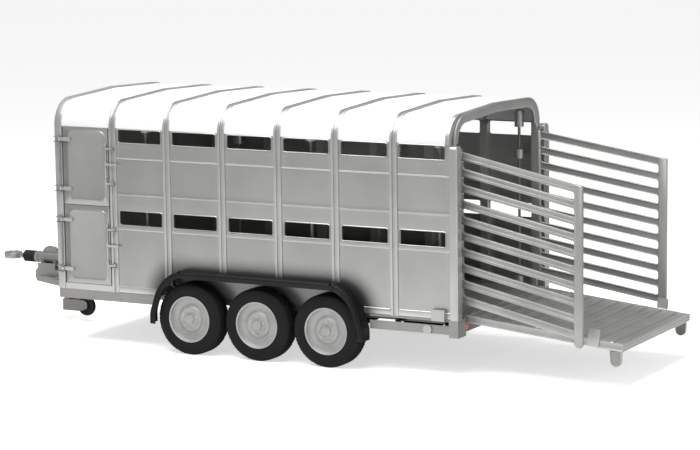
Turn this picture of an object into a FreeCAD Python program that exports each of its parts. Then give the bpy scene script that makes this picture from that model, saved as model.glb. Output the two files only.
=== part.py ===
import FreeCAD, Part
import math
import os

# Livestock trailer, millimetres. +X points forward along the drawbar, +Y to the left side, +Z up.
# The origin is on the ground under the middle axle.

os.makedirs("parts", exist_ok=True)

# Driving dimensions
bay = 610.0
bays = 7
rear_x = -2035.0
front_x = rear_x + bay * bays
body_front = 2290.0
front_post = 2210.0
post_rear = -2085.0
post_front = -2000.0
ring_rear = -1998.0
ring_front = -1955.0
half_width = 1015.0
wall_y = 1003.0
wall_thick = 6.0
floor_under = 537.0
floor_top = 555.0
rail_under = 457.0
corner_y = 755.0
corner_z = 2150.0
hoop_radius = 260.0
skin_radius = 248.0
skin_thick = 4.0
roof_slope = math.radians(2.2)
post_half = 40.0
post_outer = 1030.0
post_inner = 933.0
post_top = 2132.0
portal_inner = 925.0
lip_corner_y = 685.0
upper_slot = (2013.0, 2138.0)
lower_slot = (1210.0, 1345.0)
slot_length = 480.0
slot_border = 15.0
slot_corner = 18.0

wheel_radius = 350.0
wheel_width = 200.0
wheel_y = 1000.0
axle_pitch = 744.0
rim_radius = 217.0
stub_radius = 20.0
running_gap = 0.05

eye_x = 3533.56
eye_z = 636.0
eye_outer = 94.0
eye_bore = 50.0
eye_height = 62.0
shaft_radius = 25.0
coupling_rear = 2905.0
coupling_front = 3240.0
bellows_front = 3384.0

ramp_hinge_x = -2050.0
ramp_hinge_z = 545.0
ramp_length = 1584.0
ramp_half = 835.0
ramp_top = 8.0
ramp_bottom = -50.0
ramp_sheet = 10.0
ramp_angle = math.radians(5.7)

gate_hinge_x = -2048.0
gate_hinge_y = 874.0
gate_reach = 1276.0
gate_slope = math.radians(10.4)
gate_splay = 6.6
gate_top = 2080.6
stile_half = 22.0
gate_pitch = 147.0
gate_rails = 10

door_hinge_x = 2222.0
door_hinge_y = 1034.0
door_pin = 8.0
door_rear_x = 1680.0
door_front_x = 2200.0
upper_leaf = (1381.0, 2138.0)
lower_leaf = (600.0, 1375.0)

jockey_x = 2862.0
castor_x = 2640.0
castor_z = 160.0
castor_radius = 102.0

X = FreeCAD.Vector(1, 0, 0)
Y = FreeCAD.Vector(0, 1, 0)
Z = FreeCAD.Vector(0, 0, 1)


def at(x, y, z):
    return FreeCAD.Vector(x, y, z)


def block(x0, x1, y0, y1, z0, z1):
    return Part.makeBox(x1 - x0, y1 - y0, z1 - z0, at(x0, y0, z0))


def rod(start, direction, radius, length):
    return Part.makeCylinder(radius, length, start, direction)


def pipe(start, direction, outer, inner, length):
    return rod(start, direction, outer, length).cut(rod(start, direction, inner, length))


def face_of(points):
    return Part.Face(Part.makePolygon(points + [points[0]]))


def plate_xz(points, y0, y1):
    return face_of([at(x, y0, z) for x, z in points]).extrude(at(0, y1 - y0, 0))


def plate_yz(points, x0, x1):
    return face_of([at(x0, y, z) for y, z in points]).extrude(at(x1 - x0, 0, 0))


def plate_xy(points, z0, z1):
    return face_of([at(x, y, z0) for x, y in points]).extrude(at(0, 0, z1 - z0))


def mirrored(shape):
    return shape.mirror(at(0, 0, 0), Y)


def both_sides(shapes):
    return shapes + [mirrored(shape) for shape in shapes]


def fused(shapes):
    return shapes[0].multiFuse(shapes[1:]).removeSplitter()


def round_box(x0, x1, y0, y1, z0, z1, radius):
    # A plate in X and Z with rounded corners.
    solid = block(x0, x1, y0, y1, z0, z1)
    edges = [e for e in solid.Edges if abs(e.tangentAt(e.FirstParameter).y) > 0.99]
    return solid.makeFillet(radius, edges)


def save(name, shapes):
    solids = []
    for shape in shapes:
        solids.extend(shape.Solids)
    Part.makeCompound(solids).exportStep("parts/" + name + ".step")
    print(name, len(solids), round(sum(s.Volume for s in solids) / 1e6, 2), "litres")


def roof_corner(inner, outer, x0, x1, shoulder):
    # One rounded shoulder of the roof, from the eaves to the start of the gentle slope.
    end = math.pi / 2 - roof_slope
    ring = []
    for radius in (outer, inner):
        spots = []
        for angle in (0.0, end / 2, end):
            y = shoulder + radius * math.cos(angle)
            z = corner_z + radius * math.sin(angle)
            spots.append(at(x0, y, z))
        ring.append(spots)
    edges = [
        Part.Arc(*ring[0]).toShape(),
        Part.makeLine(ring[0][2], ring[1][2]),
        Part.Arc(*ring[1]).toShape(),
        Part.makeLine(ring[1][0], ring[0][0]),
    ]
    wire = Part.Wire(Part.__sortEdges__(edges))
    return Part.Face(wire).extrude(at(x1 - x0, 0, 0))


def ridge_height(radius, shoulder=corner_y):
    return corner_z + (radius + shoulder * math.sin(roof_slope)) / math.cos(roof_slope)


def roof_flat(inner, outer, x0, x1, shoulder):
    # One half of the gentle slope, up to the ridge.
    end = math.pi / 2 - roof_slope
    points = []
    for radius in (inner, outer):
        points.append((shoulder + radius * math.cos(end), corner_z + radius * math.sin(end)))
    points.append((0.0, ridge_height(outer, shoulder)))
    points.append((0.0, ridge_height(inner, shoulder)))
    return plate_yz(points, x0, x1)


def roof_arch(inner, outer, x0, x1, shoulder=corner_y):
    corner = roof_corner(inner, outer, x0, x1, shoulder)
    flat = roof_flat(inner, outer, x0, x1, shoulder)
    return both_sides([corner, flat])


def arch_outline(grow):
    # The wheel arch seen from the side: two quarter ellipses joined by a straight top.
    points = []
    for step in range(13):
        turn = math.radians(90.0 * step / 12)
        points.append((axle_pitch + (384 + grow) * math.cos(turn), 400 + (395 + grow) * math.sin(turn)))
    mirror = [(-x, z) for x, z in reversed(points)]
    points = points + mirror
    return [(points[0][0], 400.0)] + points[1:-1] + [(points[-1][0], 400.0)]


def arch_prism(grow, y0, y1):
    points = arch_outline(grow)
    low = rail_under - 100
    return plate_xz([(points[0][0], low)] + points + [(points[-1][0], low)], y0, y1)


def hoop_x(number):
    return rear_x + bay * number


# Chassis

def chassis_rails():
    beams = []
    outer = block(rear_x, front_x, 740, 800, rail_under, floor_under)
    inner = block(rear_x + 6, front_x - 6, 745, 795, rail_under + 5, floor_under - 5)
    beams.append(outer.cut(inner))
    side_front = block(1168, body_front - 6, 955, 1010, rail_under - 12, floor_under)
    side_front = side_front.cut(block(1160, body_front - 12, 950, 1004, rail_under - 6, floor_under - 6))
    side_rear = block(-1990, -1168, 955, 1012, 400, floor_under)
    side_rear = side_rear.cut(block(-2000, -1160, 950, 1006, 406, floor_under - 6))
    side_rear = side_rear.cut(block(-2000, -1160, 1000, 1020, 483, 520))
    save("chassis_rails", both_sides(beams + [side_front, side_rear]))


def channel(x, y0, y1):
    # A cross beam of U section, open towards the rear.
    outer = block(x - 25, x + 25, y0, y1, rail_under + 10, floor_under)
    return outer.cut(block(x - 26, x + 20, y0 - 1, y1 + 1, rail_under + 15, floor_under - 5))


def cross_members():
    parts = []
    for x in (rear_x + 30, -1425, -815, -205, 405, 1015, 1625, front_x - 30):
        parts.append(channel(x, -739, 739))
    for x in (rear_x + 100, -1425, 1300, 1625, front_x - 30):
        parts.extend(both_sides([channel(x, 801, 949)]))
    front = block(front_x + 1, body_front - 6, -954, 954, rail_under, floor_under)
    parts.append(front.cut(block(front_x, body_front - 11, -960, 960, rail_under + 5, floor_under - 5)))
    save("cross_members", parts)


def axle_units():
    parts = []
    for number in (-1, 0, 1):
        x = axle_pitch * number
        beam = block(x + 150, x + 220, -856, 856, 387, rail_under)
        parts.append(beam.cut(block(x + 158, x + 212, -850, 850, 395, 449)))
        arm = [(x + 232, 376), (x + 232, 456), (x + 140, 456), (x - 46, 382), (x - 46, 318), (x + 46, 304)]
        plate = plate_xz(arm, 857, 882)
        stub = rod(at(x, 882, wheel_radius), Y, stub_radius, 158)
        parts.extend(both_sides([fused([plate, stub])]))
    save("axle_units", parts)


def drawbar_frame():
    parts = []
    leg = [(3190, 30), (3190, 92), (2180, 560), (2110, 560), (2110, 524)]
    solid = plate_xy(leg, 400, 456)
    parts.extend(both_sides([solid]))
    nose = [(3196, 428), (3196, 505), (3162, 546), (3166, 590)]
    nose = nose + [(2955, 590), (2955, 525), (2905, 525), (2905, 392)]
    parts.extend(both_sides([plate_xz(nose, 93, 99).cut(solid)]))
    parts.append(block(3190.5, 3196, -92.5, 92.5, 428, 505))
    parts.append(block(2960, 3160, -92.5, 92.5, 569, 577))
    parts.append(block(2930, 3190, -29, 29, 457, 465))
    save("drawbar_frame", parts)


def coupling_tube():
    start = at(coupling_rear, 0, eye_z)
    body = pipe(start, X, 54, shaft_radius + running_gap, coupling_front - coupling_rear)
    collar = pipe(at(coupling_front - 40, 0, eye_z), X, 58.5, 53, 28)
    saddles = []
    for x in (2965, 3110):
        saddles.append(block(x, x + 40, -62, 62, 577, eye_z - 20).cut(rod(at(x, 0, eye_z), X, 40, 40)))
    save("coupling_tube", [fused([body, collar] + saddles)])


def towing_eye():
    ring = pipe(at(eye_x, 0, eye_z - eye_height / 2), Z, eye_outer, eye_bore, eye_height)
    edges = [e for e in ring.Edges if hasattr(e.Curve, "Radius") and abs(e.Curve.Radius - eye_outer) < 1]
    ring = ring.makeFillet(10, edges)
    neck = Part.makeCone(27, 31, 62, at(bellows_front + 2, 0, eye_z), X)
    neck = neck.cut(rod(at(eye_x, 0, 0), Z, eye_outer - 8, 2000))
    rear = coupling_rear + 90
    shaft = rod(at(rear, 0, eye_z), X, shaft_radius, bellows_front + 2 - rear)
    save("towing_eye", [fused([ring, neck, shaft])])


def bellows():
    count = 5
    step = (bellows_front - coupling_front - 2) / count
    points = [(coupling_front + 1, 26.0)]
    for number in range(count):
        x = coupling_front + 1 + step * number
        points.append((x, 50.0))
        points.append((x + step / 2, 61.0))
    points.append((bellows_front - 1, 50.0))
    points.append((bellows_front - 1, 26.0))
    profile = face_of([at(x, 0, eye_z + r) for x, r in points])
    save("bellows", [profile.revolve(at(0, 0, eye_z), X, 360)])


def handbrake():
    pivot = at(3070, -10, 655)
    sector = rod(pivot, Y, 102, 12).common(block(2900, 3200, -10, 2, 690.5, 900))
    foot = block(3005, 3135, -10, 2, 683, 691)
    boss = rod(at(3050, -68, 722), Y, 9, 59)
    teeth = []
    for number in range(9):
        turn = math.radians(38 + 13 * number)
        spot = at(3070 + 102 * math.cos(turn), -20, 655 + 102 * math.sin(turn))
        teeth.append(rod(spot, Y, 3, 40))
    plate = fused([sector, foot, boss]).cut(Part.makeCompound(teeth))
    plate = plate.cut(rod(at(0, 0, eye_z), X, 54.4, 4000))
    save("handbrake_quadrant", [plate])
    lever = block(2700, 3035, -66, -60, 712, 732)
    hub = rod(at(3050, -67, 722), Y, 19, 8)
    grip = rod(at(2590, -63, 722), X, 14, 130)
    shape = fused([lever, hub, grip]).cut(rod(at(3050, -75, 722), Y, 9 + running_gap, 20))
    shape.rotate(at(3050, 0, 722), Y, -25)
    save("handbrake_lever", [shape])


def jockey_wheel():
    plate = block(jockey_x - 38, jockey_x + 37, -235, 235, 456, 468)
    clamp = fused([plate, rod(at(jockey_x, 0, 456), Z, 41, 80)])
    outer = pipe(at(jockey_x, 0, 310), Z, 30, 26 + running_gap, 550)
    tube = fused([outer, clamp]).cut(rod(at(jockey_x, 0, 290), Z, 26 + running_gap, 600))
    save("jockey_tube", [tube])
    leg = rod(at(jockey_x, 0, 240), Z, 26, 500)
    flange = rod(at(jockey_x, 0, 222.5), Z, 44, 18)
    pin = rod(at(jockey_x, 0, 190), Z, 14, 40)
    bore = rod(at(jockey_x, 0, 430), Z, 9 + running_gap, 470)
    save("jockey_leg", [fused([leg, flange, pin]).cut(bore)])
    screw = rod(at(jockey_x, 0, 520), Z, 9, 362)
    cap = rod(at(jockey_x, 0, 861), Z, 34, 14)
    arm = block(jockey_x - 110, jockey_x + 10, -9, 9, 876, 884)
    knob = rod(at(jockey_x - 100, 0, 884), Z, 11, 70)
    save("jockey_crank", [fused([screw, cap, arm, knob])])
    head = block(jockey_x - 30, jockey_x + 45, -34, 34, 186, 222)
    head = head.cut(rod(at(jockey_x, 0, 150), Z, 14 + running_gap, 100))
    cheek = [(jockey_x + 45, 106), (jockey_x + 45, 222), (castor_x + 20, 222), (castor_x - 28, 200)]
    cheek = cheek + [(castor_x - 28, 140), (castor_x + 10, 120), (castor_x + 60, 106)]
    sides = both_sides([plate_xz(cheek, 34, 41)])
    axle = rod(at(castor_x, -41, castor_z), Y, 9, 82)
    save("castor_fork", [fused([head, axle] + sides)])
    tyre = pipe(at(castor_x, -27, castor_z), Y, castor_radius, 9 + running_gap, 54)
    rims = [e for e in tyre.Edges if hasattr(e.Curve, "Radius") and e.Curve.Radius > 90]
    tyre = tyre.makeFillet(14, rims)
    save("castor_wheel", [tyre])


# Wheels

def turned_about_axle(profile, x, y):
    points = [at(x, y + across, wheel_radius + radius) for radius, across in profile]
    return face_of(points).revolve(at(x, y, wheel_radius), Y, 360)


def wheels():
    half = wheel_width / 2
    tread = [(rim_radius, 88), (232, 95), (262, half), (300, 99), (326, 93), (343, 80), (wheel_radius, 62)]
    inside = [(rim_radius, 74), (240, 81), (262, 86), (300, 85), (322, 76), (331, 56)]
    tyre = tread + [(radius, -across) for radius, across in reversed(tread)]
    tyre = tyre + [(radius, -across) for radius, across in inside] + list(reversed(inside))
    rim = [(217, -88), (217, 88), (222, 92), (224, 97), (214, 98), (206, 91), (203, 66), (190, 60)]
    rim = rim + [(165, 57), (150, 50), (130, 52), (118, 70), (104, 74), (60, 72), (46, 74), (44, 92), (0, 94)]
    rim = rim + [(0, 60), (stub_radius + running_gap, 60), (stub_radius + running_gap, -60), (52, -60)]
    rim = rim + [(55, 40), (104, 62), (112, 58), (126, 42), (150, 40), (170, 47), (196, 52), (204, 44)]
    rim = rim + [(207, -90), (214, -98), (222, -97), (222, -92.5)]
    for side, name in ((1, "left"), (-1, "right")):
        for number, place in ((1, "front"), (0, "middle"), (-1, "rear")):
            x = axle_pitch * number
            one_tyre = turned_about_axle([(r, a * side) for r, a in tyre], x, wheel_y * side)
            one_rim = turned_about_axle([(r, a * side) for r, a in rim], x, wheel_y * side)
            nuts = []
            for nut in range(5):
                turn = math.radians(90 + 72 * nut)
                spot = at(x + 80 * math.cos(turn), (wheel_y + 68) * side, wheel_radius + 80 * math.sin(turn))
                nuts.append(rod(spot, Y * side, 12, 18))
            save("tyre_" + name + "_" + place, [one_tyre])
            save("rim_" + name + "_" + place, [fused([one_rim] + nuts)])


def mudguard_sections():
    lip = [(1153, 290), (1150, 400), (1122, 487), (1094, 573), (1063, 634), (1009, 706), (937, 762), (860, 795)]
    wall = [(1160, 290), (1158, 400), (1130, 490), (1101, 577), (1069, 640), (1014, 713), (940, 770), (862, 803)]
    lip.append((690, 806))
    wall.append((690, 814))
    sections = []
    for y, share in ((1150, 0.0), (1145, 0.45), (1132, 0.75), (1100, 0.92), (wall_y, 1.0)):
        points = []
        for number in range(len(lip)):
            x = lip[number][0] + share * (wall[number][0] - lip[number][0])
            z = lip[number][1] + share * (wall[number][1] - lip[number][1])
            points.append((x, z))
        sections.append((y, points + [(-x, z) for x, z in reversed(points)]))
    return sections


def shrink(points, amount):
    # Each point moves inward, square to the line through its two neighbours.
    moved = []
    last = len(points) - 1
    for number, (x, z) in enumerate(points):
        ax, az = points[max(number - 1, 0)]
        bx, bz = points[min(number + 1, last)]
        length = math.hypot(bx - ax, bz - az)
        moved.append((x + (az - bz) / length * -amount * -1, z + (bx - ax) / length * amount))
    moved[0] = (moved[0][0], moved[0][1] - 5)
    moved[last] = (moved[last][0], moved[last][1] - 5)
    return moved


def mudguards():
    outer = []
    inner = []
    for y, points in mudguard_sections():
        outer.append(Part.makePolygon([at(x, y, z) for x, z in points + [points[0]]]))
        inside = shrink(points, 6)
        inner.append(Part.makePolygon([at(x, y, z) for x, z in inside + [inside[0]]]))
    shell = Part.makeLoft(outer, True, True).cut(Part.makeLoft(inner, True, True))
    y, points = mudguard_sections()[0]
    rim = plate_xz(points, 1138, 1150)
    rim = rim.cut(plate_xz(shrink(points, 54), 1130, 1160))
    guard = fused([shell, rim])
    save("mudguard_left", [guard])
    save("mudguard_right", [mirrored(guard)])


# Body

def guard_outline(y0, y1):
    y, points = mudguard_sections()[-1]
    return plate_xz([(x * 1.0005, z + 1) for x, z in points], y0, y1)


def floor():
    edge = wall_y - wall_thick - 0.5
    plate = block(rear_x, body_front - 21, -edge, edge, floor_under, floor_top)
    opening = arch_prism(5, 875, 1000)
    plate = plate.cut(opening).cut(mirrored(opening))
    for number in range(1, bays):
        pocket = block(hoop_x(number) - 41, hoop_x(number) + 41, 944, 1000, 500, 600)
        plate = plate.cut(pocket).cut(mirrored(pocket))
    rear_pocket = block(rear_x - 1, ring_front + 1, 889, 1000, 500, 600)
    front_pocket = block(front_post - 1, body_front, 924, 1000, 500, 600)
    for pocket in (rear_pocket, front_pocket):
        plate = plate.cut(pocket).cut(mirrored(pocket))
    plate = plate.cut(block(1664, front_post + 1, 984, 1000, 500, 600))
    save("floor", [plate])


def wheel_boxes():
    shell = arch_prism(4, 880, 992.5).cut(arch_prism(0, 870, 1000))
    shell = shell.common(block(-1200, 1200, 800, 1100, floor_under, 900))
    parts = []
    for x0, x1 in ((-1200, -axle_pitch), (-axle_pitch, axle_pitch), (axle_pitch, 1200)):
        parts.append(shell.common(block(x0, x1, 800, 1100, 400, 900)))
    side = arch_prism(4, 876, 880).common(block(-1200, 1200, 800, 1100, floor_under, 900))
    save("wheel_boxes", both_sides(parts + [side]))


def hat_section(x, low, high):
    outline = [(-40, 945), (-40, 1015), (-13, 1015), (-9, 1005), (9, 1005), (13, 1015), (40, 1015), (40, 945)]
    outline = outline + [(35, 945), (35, 1010), (17, 1010), (13, 1000), (-13, 1000), (-17, 1010), (-35, 1010)]
    outline = outline + [(-35, 945)]
    return plate_xy([(x + dx, y) for dx, y in outline], low, high)


def hoops():
    parts = []
    for number in range(1, bays):
        x = hoop_x(number)
        post = hat_section(x, floor_under, corner_z)
        post = post.cut(guard_outline(wall_y - 0.5, 1020)).cut(arch_prism(5, 930, wall_y))
        parts.extend(both_sides([post]))
        parts.extend(roof_arch(skin_radius, hoop_radius, x - 33, x + 33))
        parts.extend(roof_arch(skin_radius - 30, skin_radius - skin_thick, x - 16, x + 16))
    save("hoops", parts)


def hollow_post(x0, x1, y0, y1, top, wall):
    # A square tube, open below and shut above.
    inside = block(x0 + wall, x1 - wall, y0 + wall, y1 - wall, 500, top - wall)
    return block(x0, x1, y0, y1, floor_under, top).cut(inside)


def portals():
    post = hollow_post(post_rear, post_front, post_inner, post_outer, post_top, 6)
    jamb = hollow_post(ring_rear - 20, ring_front, 890, post_inner, corner_z, 5)
    inner = hollow_post(ring_rear, ring_front, post_inner, 993, corner_z, 5)
    ring = roof_arch(178, hoop_radius, ring_rear, ring_front)
    lip = roof_arch(173, 248, ring_rear - 20, ring_rear, lip_corner_y)
    save("rear_portal", both_sides([post, jamb, inner]) + ring + lip)
    post = hollow_post(front_post, body_front, portal_inner, half_width, corner_z, 6)
    arch = roof_arch(200, hoop_radius, front_post, body_front)
    save("front_portal", both_sides([post]) + arch)


def roof_skin():
    parts = roof_arch(skin_radius - skin_thick, skin_radius, ring_front, front_post)
    save("roof_skin", parts)


def bay_edges(number):
    x0 = hoop_x(number - 1) + post_half
    x1 = hoop_x(number) - post_half
    if number == 1:
        x0 = ring_rear
    if number == bays:
        x1 = front_post
    return x0, x1


def slot_centre(number):
    if number == 1:
        return rear_x + 325
    return (hoop_x(number - 1) + hoop_x(number)) / 2


def wall_panels():
    notch = arch_prism(6, 980, 1010)
    for name, last in (("left", bays - 1), ("right", bays)):
        parts = []
        for number in range(1, last + 1):
            x0, x1 = bay_edges(number)
            lower = block(x0, x1, wall_y - wall_thick, wall_y, floor_under, lower_slot[0] - slot_border)
            low = lower_slot[1] + slot_border
            middle = block(x0, x1, wall_y - wall_thick, wall_y, low, upper_slot[0] - slot_border)
            parts.append(lower.cut(notch))
            parts.append(middle)
        if name == "right":
            parts = [mirrored(part) for part in parts]
        save("wall_panels_" + name, parts)


def slot_frames():
    parts = []
    for name, last in (("left", bays - 1), ("right", bays)):
        for number in range(1, last + 1):
            x0, x1 = bay_edges(number)
            centre = slot_centre(number)
            for low, high in (lower_slot, upper_slot):
                top = min(high + slot_border, corner_z)
                ring = block(x0, x1, wall_y - wall_thick - 3, wall_y + 3, low - slot_border, top)
                half = slot_length / 2
                hole = round_box(centre - half, centre + half, 980, 1010, low, high, slot_corner)
                ring = ring.cut(hole)
                if name == "right":
                    ring = mirrored(ring)
                parts.append(ring)
    save("slot_frames", parts)


def wall_trim():
    parts = []
    notch = guard_outline(980, 1020)
    for name, last in (("left", bays - 1), ("right", bays)):
        for number in range(1, last + 1):
            x0, x1 = bay_edges(number)
            strips = [block(x0, x1, wall_y, wall_y + 6, floor_under, 603).cut(notch)]
            for z in (1168, 1860):
                strips.append(block(x0, x1, wall_y, wall_y + 5, z - 8, z + 8))
            for strip in strips:
                if strip.Volume < 1000:
                    continue
                parts.append(mirrored(strip) if name == "right" else strip)
    save("wall_trim", parts)


def front_wall():
    x0, x1 = body_front - 16, body_front - 10
    radius = 199.0
    end = math.pi / 2 - roof_slope
    arc = [(924.0, corner_z + 0.5)]
    for step in range(13):
        turn = 0.01 + (end - 0.01) * step / 12
        arc.append((corner_y + radius * math.cos(turn), corner_z + radius * math.sin(turn)))
    points = [(-924, floor_under), (924, floor_under)] + arc + [(0.0, ridge_height(radius))]
    points = points + [(-y, z) for y, z in reversed(arc)]
    sheet = plate_yz(points, x0, x1)
    ribs = []
    for z in (850, 1168, 1510, 1860):
        ribs.append(block(x1, x1 + 6, -920, 920, z - 10, z + 10))
    save("front_wall", [fused([sheet] + ribs)])


def door_surround():
    header = block(1665, front_post - 2, 985, wall_y, 2141, corner_z)
    sill = block(1665, front_post - 2, 985, wall_y + 3, floor_under, 597)
    rods = []
    lugs = []
    for low, high, spots in ((1496, 2058, (1534, 2020)), (701, 1265, (739, 1227))):
        rods.append(rod(at(door_hinge_x, door_hinge_y, low), Z, door_pin, high - low))
        for z in spots:
            for shift in (-30, 22):
                foot = z + shift
                lug = block(door_hinge_x - 14, door_hinge_x + 58, half_width, door_hinge_y + 14, foot, foot + 8)
                lugs.append(lug)
    keepers = []
    for z in (1948, 1606, 1154, 800):
        for shift in (-22, 14):
            keepers.append(block(1592, 1650, half_width, 1036, z + shift, z + shift + 8))
    save("door_surround", [header, sill])
    hardware = []
    for number in range(2):
        group = [rods[number]] + lugs[4 * number:4 * number + 4]
        hardware.append(fused(group))
    save("door_hinge_rods", hardware + keepers)


def door_leaf(name, low, high, panel_low, panel_high, hinges, guides):
    sheet = block(door_rear_x, door_front_x, 985, 1005, low, high)
    raised = round_box(1711, 2147, 1005, 1012, panel_low, panel_high, 60)
    pieces = [sheet, raised]
    for z in hinges:
        knuckle = rod(at(door_hinge_x, door_hinge_y, z - 18), Z, 15, 36)
        strap = block(2100, door_hinge_x, 1016, 1028, z - 16, z + 16)
        foot = block(2110, 2172, 1005, 1016, z - 16, z + 16)
        pieces.extend([knuckle, strap, foot])
    leaf = fused(pieces)
    for z in hinges:
        leaf = leaf.cut(rod(at(door_hinge_x, door_hinge_y, z - 30), Z, door_pin + running_gap, 60))
    brackets = []
    for z in guides:
        bracket = block(1685, 1709, 1005, 1034, z + 26, z + 44)
        brackets.append(bracket.cut(rod(at(1697, 1022, z), Z, 7 + running_gap, 80)))
    save(name, [fused([leaf] + brackets)])
    low_end = min(guides) - 20
    high_end = max(guides) + 60
    bar = rod(at(1697, 1022, low_end), Z, 7, high_end - low_end)
    middle = (low_end + high_end) / 2
    grip = block(1565, 1697, 1030, 1038, middle - 11, middle + 11)
    hub = rod(at(1697, 1022, middle - 16), Z, 12, 32)
    cams = [block(1606, 1697, 1018, 1026, z - 9, z + 9) for z in guides]
    save(name.replace("leaf", "lock_bar"), [fused([bar, grip, hub] + cams)])


def doors():
    door_leaf("door_leaf_upper", upper_leaf[0], upper_leaf[1], 1420, 2114, (1534, 2020), (1606, 1948))
    door_leaf("door_leaf_lower", lower_leaf[0], lower_leaf[1], 631, 1337, (739, 1227), (800, 1154))


def deck_rods():
    rods = []
    sockets = []
    for x in (-1835, -500, 1320):
        rods.append(rod(at(x, 885, 640), Z, 14, 1468))
        top = rod(at(x, 885, 2108), Z, 46, 160).cut(rod(at(x, 885, 2114), Z, 42, 160))
        sockets.append(top)
        collar = pipe(at(x, 885, 1800), Z, 46, 42, 90)
        web = pipe(at(x, 885, 1840), Z, 43, 14, 8)
        sockets.append(fused([collar, web]))
        if abs(x) > 1100:
            base = rod(at(x, 885, floor_top), Z, 42, 85).cut(rod(at(x, 885, floor_top + 6), Z, 38, 73))
            sockets.append(base)
    rods[1] = rod(at(-500, 885, 799), Z, 14, 1309)
    save("deck_rods", both_sides(rods))
    save("rod_sockets", both_sides(sockets))


# Rear end

def rear_end():
    corners = block(post_rear, rear_x + 44, 860, post_outer, 376, floor_under - 0.5)
    bar = block(rear_x - 12, rear_x - 0.5, -859, 859, 396, 500)
    save("rear_bumper", both_sides([corners]) + [bar])
    triangle = [(700, 414), (850, 414), (775, 497)]
    glass = face_of([at(rear_x - 12.5, y, z) for y, z in triangle]).extrude(at(-8, 0, 0))
    save("reflectors", both_sides([glass]))
    lamp = block(-1954.5, -1823, 1012.5, 1052, 526, 632)
    lens = rod(at(-1771, 1012.5, 440), Y, 43, 22)
    prop = rod(at(-1385, 1020, 594), X, 8, 262)
    foot = block(-1385, -1375, 1009.5, 1019, 586, 602)
    save("side_fittings", both_sides([lamp, lens, fused([prop, foot])]))


def hinge_row():
    return (-640.0, -215.0, 215.0, 640.0)


def ramp_knuckles():
    parts = []
    for y in hinge_row():
        for shift in (-60, 22):
            ear = rod(at(ramp_hinge_x, y + shift, ramp_hinge_z), Y, 11, 38)
            link = block(ramp_hinge_x, rear_x, y + shift, y + shift + 38, ramp_hinge_z - 11, ramp_hinge_z + 6)
            parts.append(fused([ear, link]))
        parts.append(rod(at(ramp_hinge_x, y - 22, ramp_hinge_z), Y, 6, 44))
    groups = []
    for number in range(4):
        groups.append(fused(parts[3 * number:3 * number + 3]))
    save("ramp_hinge_lugs", groups)


def laid(shape):
    # The ramp is drawn level behind its hinge, then lowered to its resting slope.
    turned = shape.copy()
    turned.rotate(at(ramp_hinge_x, 0, ramp_hinge_z), Y, -math.degrees(ramp_angle))
    return turned


def ramp():
    hx, hz = ramp_hinge_x, ramp_hinge_z
    end = hx - ramp_length
    top = hz + ramp_top
    low = hz + ramp_bottom
    deck = block(end + 8, hx - 16, -ramp_half + 12, ramp_half - 12, top - ramp_sheet, top)
    barrels = []
    for y in hinge_row():
        eye = rod(at(hx, y - 21, hz), Y, 11, 42)
        strap = block(hx - 20, hx, y - 21, y + 21, hz - 11, hz + 6)
        arm = block(hx - 90, hx - 16, y - 21, y + 21, hz - 11, top - ramp_sheet)
        barrels.extend([eye, strap, arm])
    deck = fused([deck] + barrels)
    for y in hinge_row():
        deck = deck.cut(rod(at(hx, y - 40, hz), Y, 6 + running_gap, 80))
    save("ramp_deck", [laid(deck)])
    beams = []
    for y in (-790, -420, 0, 420, 790):
        beam = block(end + 60, hx - 100, y - 25, y + 25, low, top - ramp_sheet)
        beams.append(beam.cut(block(end + 66, hx - 106, y - 21, y + 21, low + 4, top - ramp_sheet - 4)))
    save("ramp_beams", [laid(beam) for beam in beams])
    edge = block(end + 8, hx - 16, ramp_half - 12, ramp_half, low, top + 14)
    cap = block(end, end + 8, -ramp_half, ramp_half, low, top + 6)
    save("ramp_edges", [laid(shape) for shape in both_sides([edge]) + [cap]])
    battens = []
    for number in range(10):
        x = hx - 120 - 148 * number
        battens.append(block(x - 18, x + 18, -790, 790, top, top + 10))
    save("ramp_battens", [laid(batten) for batten in battens])
    feet = []
    for y in (-ramp_half + 32, ramp_half - 32):
        x = -3544.0
        z = 390.0
        upper = block(x - 62, x + 62, y - 19, y + 19, 250, 330)
        toe = rod(at(x, y - 19, 250), Y, 52, 38)
        feet.append(fused([upper, toe]))
    under = laid(block(end - 50, hx, -900, 900, low - 0.01, 900))
    save("ramp_feet", [foot.cut(under) for foot in feet])
    catches = []
    for side in (1, -1):
        y0, y1 = sorted((side * ramp_half, side * (ramp_half + 8)))
        catches.append(laid(block(-3400, -3290, y0, y1, low + 4, top + 110)))
    save("ramp_catches", catches)


def gate(side):
    hx, hy = gate_hinge_x, gate_hinge_y
    free = hx - gate_reach
    drop = math.tan(gate_slope)
    start = hx + stile_half
    rails = []
    for number in range(gate_rails):
        high = gate_top - gate_pitch * number
        points = [(start - 20, high - 20 * drop), (free + 40, high - (start - free - 40) * drop)]
        lower = [(x, z - 70) for x, z in reversed(points)]
        rail = plate_xz(points + lower, hy - 14, hy + 14)
        inside = [(start - 50, high - 50 * drop - 8), (free + 90, high - (start - free - 90) * drop - 8)]
        inside = inside + [(x, z - 54) for x, z in reversed(inside)]
        rails.append(rail.cut(plate_xz(inside, hy - 15, hy + 9)))
    bottom = gate_top - gate_pitch * (gate_rails - 1) - 70
    fall = (start - free) * drop
    post = plate_xz([(free, gate_top - fall), (free + 85, gate_top - fall + 85 * drop),
                     (free + 85, 385), (free, 385)], hy - 18, hy + 18)
    back = 2 * stile_half
    stile = plate_xz([(start - back, gate_top - back * drop), (start, gate_top), (start, bottom),
                      (start - back, bottom - back * drop)], hy - 16, hy + 16)
    shape = fused([post, stile] + rails)
    shape = shape.cut(rod(at(hx, hy, 600), Z, 9 + running_gap, 1600))
    shape.rotate(at(hx, hy, 0), Z, -gate_splay)
    if side < 0:
        shape = mirrored(shape)
    return shape


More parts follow.
